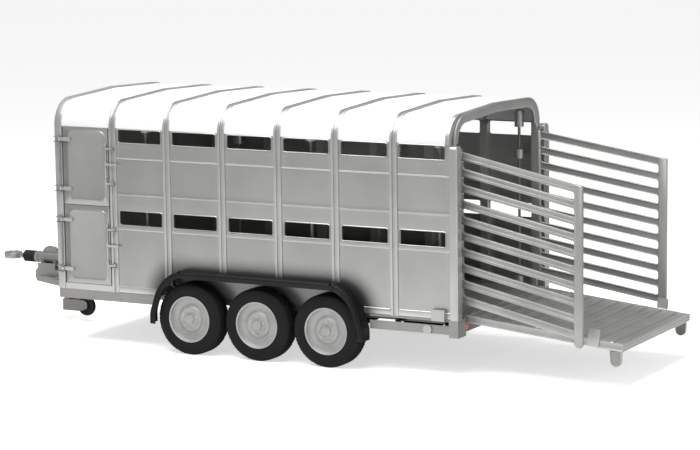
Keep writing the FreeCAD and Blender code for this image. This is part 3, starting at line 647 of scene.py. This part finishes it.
def doorSheet(leaf):
    # The leaf's flat edge, then a raised field with large round corners and a shallow pan inside it.
    a, b, c, d = door["fieldRear"], door["fieldFront"], *leaf["panel"]
    x0, x1, low, high = door["x0"], door["x1"], leaf["low"], leaf["high"]
    rings = [(x0, x1, low, high, 0.004, 0.985), (x0, x1, low, high, 0.004, 1.0035),
             (x0 + 0.002, x1 - 0.002, low + 0.002, high - 0.002, 0.004, 1.005)]
    for inset, depth in ((0.0, 1.005), (0.002, 1.0065), (0.006, 1.0105), (0.010, 1.012), (0.016, 1.012),
                         (0.021, 1.0105), (0.024, 1.010)):
        rings.append((a + inset, b - inset, c + inset, d - inset, door["fieldCorner"] - inset, depth))
    return pressed(rings, facingOut, steps=8)


for name, leaf in doorLeaves.items():
    body = "door_" + name
    makePiece("doorSheet_" + name, [doorSheet(leaf)], body, "panel_aluminium", ["door_leaf_" + name])
    fittings = []
    for z in leaf["hinges"]:
        ring = sleeve(door["pin"], 0.015, z - 0.018, z + 0.018, 0.002, 0.002)
        fittings.append(turned(ring, (door["hingeX"], door["hingeY"], 0), "z", 24, closed=True))
        fittings.append(bar((2.100, 1.016, z - 0.016), (door["hingeX"] - 0.011, 1.028, z + 0.016)))
        fittings.append(bar((2.110, 1.004, z - 0.020), (2.196, 1.017, z + 0.020)))
    for z in leaf["guides"]:
        fittings.append(bar((1.685, 1.004, z + 0.026), (1.6885, 1.034, z + 0.044)))
        fittings.append(bar((1.7055, 1.004, z + 0.026), (1.709, 1.034, z + 0.044)))
        fittings.append(bar((1.687, 1.0305, z + 0.026), (1.707, 1.0345, z + 0.044)))
    makePiece("doorFittings_" + name, fittings, body, "frame_aluminium", bevel=0.0015)
    low = min(leaf["guides"]) - 0.020
    high = max(leaf["guides"]) + 0.060
    middle = (low + high) / 2
    spot = (door["lockX"], door["lockY"], 0)
    rodSection = [(0.0055, low), (0.007, low + 0.002), (0.007, high - 0.002), (0.0055, high)]
    lock = [turned(rodSection, spot, "z", 16),
            turned([(0.007, middle - 0.016), (0.012, middle - 0.014), (0.012, middle + 0.014),
                    (0.007, middle + 0.016)], spot, "z", 20)]
    for z in leaf["guides"]:
        tongue = [(1.6065, 1.701, z - 0.009, z + 0.009, 0.008, y) for y in (1.018, 1.026)]
        lock.append(pressed(tongue, facingOut))
    lock.append(pressed([(1.5655, 1.703, middle - 0.011, middle + 0.011, 0.010, 1.0305),
                         (1.565, 1.704, middle - 0.0115, middle + 0.0115, 0.0105, 1.034),
                         (1.5655, 1.703, middle - 0.011, middle + 0.011, 0.010, 1.0375)], facingOut))
    makePiece("lockBar_" + name, lock, "lock_" + name, "frame_aluminium", ["door_lock_bar_" + name])
print("doors done")


# Mudguards.

def guardShell(side):
    # From wall line to lip line the share follows the dome curve; past the lip the fascia turns down and in.
    lip, wallLine = (smoothLine(guard[line] + [(-x, z) for x, z in reversed(guard[line])], 90)
                     for line in ("lip", "wallLine"))
    dome = smoothLine(guard["dome"], 18)
    along = np.gradient(lip, axis=0)
    inward = np.column_stack([along[:, 1], -along[:, 0]]) / np.linalg.norm(along, axis=1)[:, None]
    inward *= np.sign((-lip * inward).sum(1) + 0.4 * inward[:, 1])[:, None]
    fascia = np.array(guard["fascia"])
    shell = lip[:, None] + dome[None, :, 1:] * (wallLine - lip)[:, None]
    roll = lip[:, None] + fascia[None, :, 1:] * inward[:, None]
    flat = np.concatenate([shell, roll], 1)
    y = side * np.concatenate([dome[:, 0], fascia[:, 0]])
    outer = np.stack([flat[..., 0], np.broadcast_to(y, flat.shape[:2]), flat[..., 1]], -1)
    inner = offsetGrid(outer, guard["thick"])
    if inner[..., 2].mean() > outer[..., 2].mean():
        inner = offsetGrid(outer, -guard["thick"])
    return walled(outer, inner)


for side, sideName in sides:
    covered = ["mudguard_" + sideName]
    makePiece("guardShell_" + sideName, [guardShell(side)], "trailer", "gloss_black", covered)
print("mudguards done")


# Wheels.

wheel = dict(y=1.000, z=0.350, pitch=0.744, steps=180, lugs=60, lugDepth=0.004, nutCircle=0.080)
nutSection = [(0.013, 0.071), (0.0125, 0.086), (0.0095, 0.0895), (0.002, 0.090)]
washerSection = [(0.019, 0.070), (0.019, 0.0765), (0.0165, 0.0785), (0.002, 0.079)]
tyreHalf = [
    (0.217, 0.086), (0.221, 0.0925), (0.229, 0.0945), (0.234, 0.0952), (0.238, 0.0972), (0.243, 0.0962),
    (0.252, 0.0985), (0.266, 0.100), (0.283, 0.0998), (0.2855, 0.1006), (0.289, 0.0992), (0.304, 0.0978),
    (0.320, 0.094), (0.3335, 0.088), (0.342, 0.0815), (0.3465, 0.0745), (0.348, 0.068), (0.3484, 0.062),
    (0.340, 0.0605), (0.340, 0.0555), (0.3493, 0.054), (0.3497, 0.032), (0.3412, 0.0305), (0.3412, 0.0235),
    (0.3498, 0.022), (0.350, 0.010)]
tyreInside = [
    (0.217, -0.074), (0.240, -0.081), (0.262, -0.086), (0.300, -0.085), (0.322, -0.076), (0.331, -0.056)]
rimProfile = [
    (0.004, -0.058), (0.050, -0.060), (0.054, 0.040), (0.104, 0.062), (0.112, 0.058), (0.126, 0.042),
    (0.150, 0.040), (0.170, 0.047), (0.196, 0.052), (0.204, 0.044), (0.207, -0.090), (0.214, -0.098),
    (0.222, -0.097), (0.222, -0.090), (0.217, -0.087), (0.217, 0.087), (0.2215, 0.091), (0.2245, 0.0945),
    (0.2235, 0.0975), (0.219, 0.0985), (0.2125, 0.097), (0.2075, 0.0915), (0.2055, 0.080), (0.204, 0.071),
    (0.199, 0.0665), (0.1935, 0.0655), (0.1915, 0.060), (0.178, 0.059), (0.170, 0.0565), (0.160, 0.0525),
    (0.148, 0.050), (0.136, 0.0515), (0.127, 0.0565), (0.120, 0.0655), (0.115, 0.0715), (0.108, 0.0745),
    (0.100, 0.0755), (0.092, 0.0755), (0.084, 0.075), (0.076, 0.0745), (0.068, 0.074), (0.060, 0.074),
    (0.053, 0.0745), (0.047, 0.077), (0.0455, 0.088), (0.043, 0.092), (0.038, 0.0938), (0.020, 0.0945),
    (0.004, 0.0948)]


def treadCut(radius, height, angle):
    # Shoulder blocks: the radius drops for a third of each block's turn, from the shoulder to the groove.
    onShoulder = (np.abs(height) > 0.0615) & (np.abs(height) < 0.0825) & (radius > 0.335)
    phase = (angle * wheel["lugs"] / (2 * math.pi)) % 1.0
    return radius - wheel["lugDepth"] * onShoulder * (phase > 0.62), height


def discStar(radius, height, angle):
    # Five hollows between the wheel nuts: a bell in radius times a squared cosine round the disc.
    between = (0.5 - 0.5 * np.cos(5 * angle)) ** 2
    bell = np.exp(-(((radius - wheel["nutCircle"]) / 0.013) ** 2))
    front = height > 0.070
    return radius, height - 0.009 * between * bell * front


for side, sideName in sides:
    for turn, place in ((1, "front"), (0, "middle"), (-1, "rear")):
        centre = (wheel["pitch"] * turn, wheel["y"] * side, wheel["z"])
        body = "wheel_" + sideName + "_" + place
        section = [(r, h * side) for r, h in mirroredPairs(tyreHalf) + mirroredPairs(tyreInside)]
        makePiece("tyreTread_" + sideName + "_" + place,
                  [turned(section, centre, "y", wheel["steps"], closed=True, dent=treadCut)],
                  body, "tyre", ["tyre_" + sideName + "_" + place], sharp=50)
        disc = turned(rimProfile, (0, 0, 0), "y", 120, dent=discStar)
        nuts = []
        for nut in range(5):
            angle = 2 * math.pi * nut / 5
            spot = (wheel["nutCircle"] * math.sin(angle), 0.0, wheel["nutCircle"] * math.cos(angle))
            nuts += [turned(nutSection, spot, "y", 6), turned(washerSection, spot, "y", 18)]
        rim = [moved(part, lambda points: points * (1, side, 1) + np.array(centre)) for part in [disc] + nuts]
        makePiece("wheelRim_" + sideName + "_" + place, rim, body, "rim_steel",
                  ["rim_" + sideName + "_" + place], sharp=30)
print("wheels done")


# Side gates.

gate = dict(
    hingeX=-2.048, hingeY=0.874, free=-3.324, start=-2.026, top=2.0806, slope=math.tan(math.radians(10.4)),
    splay=math.radians(-6.6), pitch=0.147, rail=0.070, rails=10, postWide=0.085, postHalf=0.018,
    postLow=0.385, stile=0.044, stileHalf=0.016, barHalf=0.014)


def hungGate(side):
    # Turns a gate drawn straight back from its hinge to its splay, and mirrors the right one.
    c, s = math.cos(gate["splay"]), math.sin(gate["splay"])

    def change(points):
        dx = points[:, 0] - gate["hingeX"]
        dy = points[:, 1]
        y = gate["hingeY"] + dx * s + dy * c
        return np.column_stack([gate["hingeX"] + dx * c - dy * s, side * y, points[:, 2]])
    return change


def alongRail(x, drop, depth):
    # Drop is measured down from the sloping top line.
    z = gate["top"] - (gate["start"] - x) * gate["slope"] - drop
    return np.stack([x, np.broadcast_to(depth, x.shape), z], -1)


def gateGap(number):
    # Round one gap between two rails: rolled lip, face, crease, and the hollow back of the channel.
    top = gate["pitch"] * number + gate["rail"]
    bottom = gate["pitch"] * (number + 1)
    a, b = gate["free"] + gate["postWide"], gate["start"] - gate["stile"]
    up = 0.069 if number == 0 else 0.035
    down = 0.069 if number == gate["rails"] - 2 else 0.035
    rings = []
    for left, right, above, below, radius, depth in (
            (0.0, 0.0, 0.0, 0.0, 0.020, 0.011), (0.003, 0.003, 0.003, 0.003, 0.021, 0.014),
            (0.010, 0.008, 0.012, 0.016, 0.022, 0.0145), (0.014, 0.012, 0.024, 0.021, 0.022, 0.014),
            (0.016, 0.014, 0.026, 0.023, 0.022, 0.0115), (0.020, 0.020, 0.031, 0.031, 0.010, 0.0115),
            (0.030, 0.026, up, down, 0.001, 0.012), (0.030, 0.026, up, down, 0.001, 0.007),
            (0.012, 0.012, 0.012, 0.012, 0.016, 0.007), (0.006, 0.006, 0.006, 0.006, 0.022, -0.012),
            (0.003, 0.003, 0.003, 0.003, 0.021, -0.014), (0.0, 0.0, 0.0, 0.0, 0.020, -0.012)):
        rings.append((a - left, b + right, top - above, bottom + below, radius, depth))
    return pressed(rings, alongRail, closed=True)


def gateBar(x0, x1, drop0, drop1, half):
    # A straight strip that follows the slope.
    drop = np.array([drop0, drop0, drop1, drop1])
    depth = np.array([-half, half, half, -half])
    return solid([alongRail(np.full(4, x), drop, depth) for x in (x0, x1)])


def gatePost(x0, x1, half, low, foot):
    # An upright with rounded corners, its top cut to the slope and its foot drawn in.
    middle = (x0 + x1) / 2
    wide = (x1 - x0) / 2
    loops = []
    for z, share in ((low, 0.55), (low + 0.012, 0.72), (low + 0.018, 0.98), (low + 0.024, 1.0), (1.0, 1.0)):
        share = share if foot else 1.0
        x, y = wide * share, half * share
        outline = roundedLoop(middle - x, middle + x, -y, y, 0.009, 3)
        loops.append(level(outline, z))
    for inset in (0.0, 0.004):
        outline = roundedLoop(x0 + inset, x1 - inset, -half + inset, half - inset, 0.009 - inset, 3)
        z = gate["top"] - (gate["start"] - outline[:, 0]) * gate["slope"] + inset
        loops.append(level(outline, z))
    return solid(loops)


for side, sideName in sides:
    bottom = gate["pitch"] * (gate["rails"] - 1) + gate["rail"]
    stileLow = gate["top"] - bottom
    rails = [gateGap(number) for number in range(gate["rails"] - 1)]
    for drop in (0.0, bottom - 0.005):
        rails.append(gateBar(gate["free"] + 0.06, gate["start"] - 0.02, drop, drop + 0.005, gate["barHalf"]))
    postFront = gate["free"] + gate["postWide"]
    rails.append(gatePost(gate["free"], postFront, gate["postHalf"], gate["postLow"], True))
    rails.append(gatePost(gate["start"] - gate["stile"], gate["start"], gate["stileHalf"], stileLow, False))
    ring = sleeve(0.00905, 0.0155, stileLow - 0.004, gate["top"] + 0.004, 0.001, 0.004)
    rails.append(turned(ring, (gate["hingeX"], 0, 0), "z", 24, closed=True))
    makePiece("sideGate_" + sideName, [moved(part, hungGate(side)) for part in rails], "gate_" + sideName,
              "gate_aluminium", ["gate_" + sideName], sharp=45)
print("gates done")


# Ramp.

ramp = dict(
    hingeX=-2.050, hingeZ=0.545, length=1.584, half=0.835, top=0.008, low=-0.050, sheet=0.010,
    angle=math.radians(-5.7), pitch=0.148, cleats=10, firstCleat=0.120, gap=0.016,
    sleeves=(-0.640, -0.215, 0.215, 0.640), cleatHalf=0.790, footX=-3.544, footY=0.803)


def lowered(points):
    # The ramp is drawn level behind its hinge, then turned about it to its resting slope.
    dx, dz = points[:, 0], points[:, 2]
    c, s = math.cos(ramp["angle"]), math.sin(ramp["angle"])
    return np.column_stack([ramp["hingeX"] + dx * c + dz * s, points[:, 1], ramp["hingeZ"] - dx * s + dz * c])


def rampPiece(name, parts, covered):
    # Level parts turned down to the ramp's slope and made one piece.
    makePiece(name, [moved(part, lowered) for part in parts], "ramp", "gate_aluminium", [covered])


def rampBoards():
    # A sheet across the ramp with a fine V line sunk between one board and the next.
    joints = -ramp["firstCleat"] - ramp["pitch"] * (np.arange(ramp["cleats"] + 1) - 0.5)
    cut = np.array([-0.008, -0.003, 0.0, 0.003, 0.008])
    first, last = -ramp["length"] + 0.008, -ramp["gap"]
    x = np.sort(np.concatenate([(joints[:, None] + cut).ravel(), [last, first]]))
    x = x[(x >= first) & (x <= last)]
    near = np.abs(x[:, None] - joints[None, :]).min(1)
    y = np.linspace(-ramp["half"] + 0.012, ramp["half"] - 0.012, 9)
    z = ramp["top"] - 0.004 * np.exp(-((near / 0.0035) ** 2))
    top = np.stack(np.broadcast_arrays(x[:, None], y[None], z[:, None]), -1)
    under = top.copy()
    under[..., 2] = ramp["top"] - ramp["sheet"]
    return walled(top, under)


def cleat(x):
    # A bar across the ramp with sloping sides and ends.
    rings = []
    for inset, rise in ((0.0, -0.001), (0.0, 0.002), (0.006, 0.009), (0.009, 0.010)):
        wide, long = 0.018 - inset, ramp["cleatHalf"] - inset
        rings.append((x - wide, x + wide, -long, long, 0.004, ramp["top"] + rise))
    return pressed(rings, facingUp)


deckParts = [rampBoards()]
for y in ramp["sleeves"]:
    ring = sleeve(0.00605, 0.011, y - 0.021, y + 0.021, 0.0015, 0.0015)
    deckParts.append(turned(ring, (0, 0, 0), "y", 24, closed=True))
    deckParts.append(bar((-0.088, y - 0.021, -0.010), (-0.008, y + 0.021, -0.002)))
rampPiece("rampBoards", deckParts, "ramp_deck")
cleats = [cleat(-ramp["firstCleat"] - ramp["pitch"] * number) for number in range(ramp["cleats"])]
rampPiece("rampCleats", cleats, "ramp_battens")


def rampRails():
    # Side rails with a bead along the top, and a nose at the free end that steps down in three ridges.
    end, low, top = -ramp["length"], ramp["low"], ramp["top"]
    section = np.array([(0.823, low), (0.835, low), (0.835, low + 0.012), (0.8325, low + 0.015),
                        (0.8325, top - 0.004), (0.835, top), (0.835, top + 0.010), (0.8325, top + 0.014),
                        (0.826, top + 0.014), (0.823, top + 0.011)])
    side = solid([across(end + 0.006, section), across(-ramp["gap"], section)])
    nose = np.array([(end + 0.010, low + 0.002), (end + 0.001, low + 0.002), (end + 0.001, low + 0.014),
                     (end + 0.004, low + 0.016), (end + 0.004, low + 0.026), (end + 0.0005, low + 0.028),
                     (end + 0.0005, low + 0.040), (end + 0.004, low + 0.042), (end + 0.004, top - 0.004),
                     (end, top - 0.002), (end, top + 0.003), (end + 0.003, top + 0.006),
                     (end + 0.010, top + 0.006)])
    return onBothSides([side]) + [solid([facingOut(*nose.T, y) for y in (-ramp["half"], ramp["half"])])]


rampPiece("rampRails", rampRails(), "ramp_edges")


def foot(y):
    # A tongue with a rolled border, narrowing to a round toe.
    angle = np.linspace(math.pi, 2 * math.pi, 17)
    toe = np.column_stack([0.052 * np.cos(angle), 0.250 + 0.052 * np.sin(angle)])
    outline = np.vstack([[(0.058, 0.338), (-0.058, 0.338)], toe])
    middle = np.array([0.0, 0.285])
    loops = []
    for shrink, depth in ((0.0, -0.015), (0.03, -0.019), (0.16, -0.019), (0.20, -0.014)):
        loops.append((outline + (middle - outline) * shrink, depth))
    loops = loops[::-1] + [(loop, -depth) for loop, depth in loops]
    return solid([facingOut(loop[:, 0] + ramp["footX"], loop[:, 1], y + depth) for loop, depth in loops])


makePiece("rampFeet", [foot(-ramp["footY"]), foot(ramp["footY"])], "ramp", "gate_aluminium", ["ramp_feet"])
print("ramp done")


# Coupling, bellows and jockey.

eye = dict(x=3.53356, z=0.636, outer=0.094, bore=0.050, round=0.010)


def ringProfile():
    # The eye's band: a flat bore with small edges and a well-rounded outside.
    angle = np.linspace(-math.pi / 2, math.pi / 2, 9)
    r = eye["round"]
    outside = [(eye["outer"] - r + r * math.cos(a), math.copysign(0.021, a) + r * math.sin(a))
               for a in angle if abs(a) > 0.01]
    bore = eye["bore"]
    return [(bore, -0.026), (bore + 0.003, -0.030)] + outside + [(bore + 0.003, 0.030), (bore, 0.026)]


neck = [(0.0245, 2.998), (0.0248, 3.384), (0.029, 3.386), (0.029, 3.396), (0.0255, 3.402), (0.025, 3.420),
        (0.026, 3.438), (0.028, 3.458), (0.024, 3.466)]
makePiece("towingRing", [turned(ringProfile(), (eye["x"], 0, eye["z"]), "z", 64, closed=True),
                         turned(neck, (0, 0, eye["z"]), "x", 32)],
          "drawshaft", "forged_steel", ["towing_eye"], sharp=50)

boot = dict(rear=3.241, front=3.383, folds=5, low=0.0485, high=0.061, bore=0.0262)
spot = np.linspace(0, 1, boot["folds"] * 8 + 1)
wave = (1 - np.cos(2 * math.pi * boot["folds"] * spot)) / 2
outside = np.column_stack([boot["low"] + (boot["high"] - boot["low"]) * wave ** 0.8,
                           boot["rear"] + (boot["front"] - boot["rear"]) * spot])
rubberSection = np.vstack([[(boot["bore"], boot["rear"])], outside, [(boot["bore"], boot["front"])]])
rubber = makePiece("couplingBoot", [turned(rubberSection, (0, 0, eye["z"]), "x", 48, closed=True)], "trailer",
                   "black_rubber", ["bellows"], sharp=60)
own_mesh(rubber)

crank = dict(
    x=2.862, throw=0.100,
    screw=[(0.008, 0.522), (0.009, 0.526), (0.009, 0.862), (0.032, 0.863), (0.034, 0.866), (0.034, 0.871),
           (0.029, 0.876), (0.004, 0.8765)],
    knob=[(0.006, 0.884), (0.009, 0.890), (0.0115, 0.905), (0.012, 0.930), (0.010, 0.946), (0.006, 0.952),
          (0.002, 0.9535)])
arm = [(crank["x"] - 0.113 - grow, crank["x"] + 0.013 + grow, -0.0105 - grow, 0.0105 + grow, 0.010 + grow, z)
       for grow, z in ((0.0, 0.8755), (0.001, 0.880), (0.0, 0.8845))]
crankParts = [turned(crank["screw"], (crank["x"], 0, 0), "z", 28), pressed(arm, facingUp),
              turned(crank["knob"], (crank["x"] - crank["throw"], 0, 0), "z", 20)]
makePiece("crankHandle", crankParts, "jockey_crank", "painted_steel", ["jockey_crank"], sharp=50)

castor = dict(x=2.640, z=0.160)
castorHalf = [
    (0.0095, -0.0255), (0.030, -0.0265), (0.034, -0.020), (0.060, -0.018), (0.064, -0.025),
    (0.084, -0.0265), (0.094, -0.0225), (0.100, -0.015), (0.102, -0.006)]
castorTyre = turned(mirroredPairs(castorHalf), (castor["x"], 0, castor["z"]), "y", 64, closed=True)
makePiece("castorTyre", [castorTyre], "castor_wheel", "black_rubber", ["castor_wheel"])
print("coupling and jockey done")


# Tail fittings and floor strip.

def reflector(side):
    # A three-cornered lens with a raised rim and a sunk middle.
    corners = np.array([(0.700, 0.414), (0.850, 0.414), (0.775, 0.497)])
    middle = corners.mean(0)
    angle = np.linspace(0, 2 * math.pi / 3, 5)
    loops = []
    for shrink, x in ((0.0, -2.0472), (0.0, -2.0525), (0.05, -2.055), (0.14, -2.055), (0.18, -2.0535)):
        radius = 0.008 * (1 - shrink)
        inner = middle + (corners - middle) * (1 - shrink - 0.16)
        starts = (-math.pi * 5 / 6, -math.pi / 6, math.pi / 2)
        ring = [centre + radius * np.column_stack([np.cos(start + angle), np.sin(start + angle)])
                for centre, start in zip(inner, starts)]
        loops.append(across(x, np.concatenate(ring) * (side, 1)))
    return solid(loops)


makePiece("tailReflectors", [reflector(1), reflector(-1)], "trailer", "red_lens", ["reflectors"])

bolt = dict(x=-2.0925, y=0.980, heights=(1.425, 1.565))
bolts = []
for y in (-bolt["y"], bolt["y"]):
    for z in bolt["heights"]:
        head = turned([(0.016, 0.0), (0.016, 0.004), (0.0135, 0.0045), (0.013, 0.011), (0.0105, 0.013),
                       (0.002, 0.0132)], (0, 0, 0), "x", 12)
        bolts.append(moved(head, lambda points: points * (-1, 1, 1) + np.array((bolt["x"], y, z))))
makePiece("plateBolts", bolts, "trailer", "forged_steel", sharp=25)

strip = dict(
    x0=-1.930, x1=-1.500, half=0.835, studsLong=12, studsWide=46, rise=0.0035, base=0.5555, sheet=0.002)


def gripStrip():
    # Rows of round studs: the rise follows the product of two squared sines, flattened on top.
    x = np.linspace(strip["x0"], strip["x1"], strip["studsLong"] * 6 + 1)
    y = np.linspace(-strip["half"], strip["half"], strip["studsWide"] * 5 + 1)
    u = np.sin(math.pi * (x - strip["x0"]) / (strip["x1"] - strip["x0"]) * strip["studsLong"]) ** 2
    v = np.sin(math.pi * (y + strip["half"]) / (2 * strip["half"]) * strip["studsWide"]) ** 2
    rise = np.clip(u[:, None] * v[None, :] * 1.6 - 0.4, 0, 0.8)
    z = strip["base"] + strip["sheet"] + strip["rise"] * rise
    top = np.stack(np.broadcast_arrays(x[:, None], y[None], z), -1)
    under = top.copy()
    under[..., 2] = strip["base"]
    return walled(top, under)


makePiece("gripStrip", [gripStrip()], "trailer", "gate_aluminium")
print("tail fittings done")


# Studio.

studio = dict(
    floorHalf=120.0,
    camera=(-12.687, 23.057, 5.180),
    right=(-0.88393, -0.46745, -0.01308), up=(0.05931, -0.13981, 0.98840), back=(-0.46385, 0.87290, 0.15130),
    lens=140.09,
    lights=[("top", (0.0, 2.5, 9.0), (0.0, 0.0, 1.0), 9.0, 1750.0),
            ("side", (-3.0, 13.0, 6.0), (0, 0, 1.2), 7.0, 110.0),
            ("rear", (-13.0, 2.0, 5.0), (-1.0, 0.0, 1.2), 6.0, 210.0)])

floorPoints = studio["floorHalf"] * np.array([[(-1, -1, 0), (1, -1, 0)], [(-1, 1, 0), (1, 1, 0)]], float)
floorMesh = bpy.data.meshes.new("studioFloor")
floorMesh.from_pydata(floorPoints.reshape(-1, 3).tolist(), [], [[0, 1, 3, 2]])
floor = bpy.data.objects.new("studioFloor", floorMesh)
bpy.context.scene.collection.objects.link(floor)
paper = bpy.data.materials.new("studioPaper")
paper.use_nodes = True
sheet = paper.node_tree.nodes["Principled BSDF"]
sheet.inputs["Base Color"].default_value = (0.86, 0.86, 0.86, 1.0)
sheet.inputs["Roughness"].default_value = 0.9
sheet.inputs["Emission Color"].default_value = (1.0, 1.0, 1.0, 1.0)
glow = paper.node_tree.nodes.new("ShaderNodeMapRange")
glow.inputs["To Min"].default_value = 0.05
glow.inputs["To Max"].default_value = 0.6
facing = paper.node_tree.nodes.new("ShaderNodeLightPath").outputs["Is Camera Ray"]
paper.node_tree.links.new(facing, glow.inputs["Value"])
paper.node_tree.links.new(glow.outputs["Result"], sheet.inputs["Emission Strength"])
floorMesh.materials.append(paper)

cameraData = bpy.data.cameras.new("camera")
cameraData.lens = studio["lens"]
cameraData.sensor_width = 36.0
cameraData.clip_end = 500.0
camera = bpy.data.objects.new("camera", cameraData)
axes = Matrix((studio["right"], studio["up"], studio["back"])).transposed()
camera.matrix_world = Matrix.Translation(studio["camera"]) @ axes.to_4x4()
bpy.context.scene.collection.objects.link(camera)
bpy.context.scene.camera = camera

for name, place, target, size, power in studio["lights"]:
    lamp = bpy.data.lights.new(name, "AREA")
    lamp.size = size
    lamp.energy = power
    holder = bpy.data.objects.new(name, lamp)
    holder.location = place
    aim = Vector(target) - Vector(place)
    holder.rotation_euler = aim.to_track_quat("-Z", "Y").to_euler()
    bpy.context.scene.collection.objects.link(holder)

world = bpy.data.worlds.new("studioAir")
world.use_nodes = True
world.node_tree.nodes["Background"].inputs["Color"].default_value = (1.0, 1.0, 1.0, 1.0)
seen = world.node_tree.nodes.new("ShaderNodeLightPath").outputs["Is Camera Ray"]
strength = world.node_tree.nodes.new("ShaderNodeMapRange")
strength.inputs["To Min"].default_value = 0.36
strength.inputs["To Max"].default_value = 1.0
world.node_tree.links.new(seen, strength.inputs["Value"])
world.node_tree.links.new(strength.outputs["Result"], world.node_tree.nodes["Background"].inputs["Strength"])
bpy.context.scene.world = world
bpy.context.scene.view_settings.view_transform = "Standard"
print("studio done")
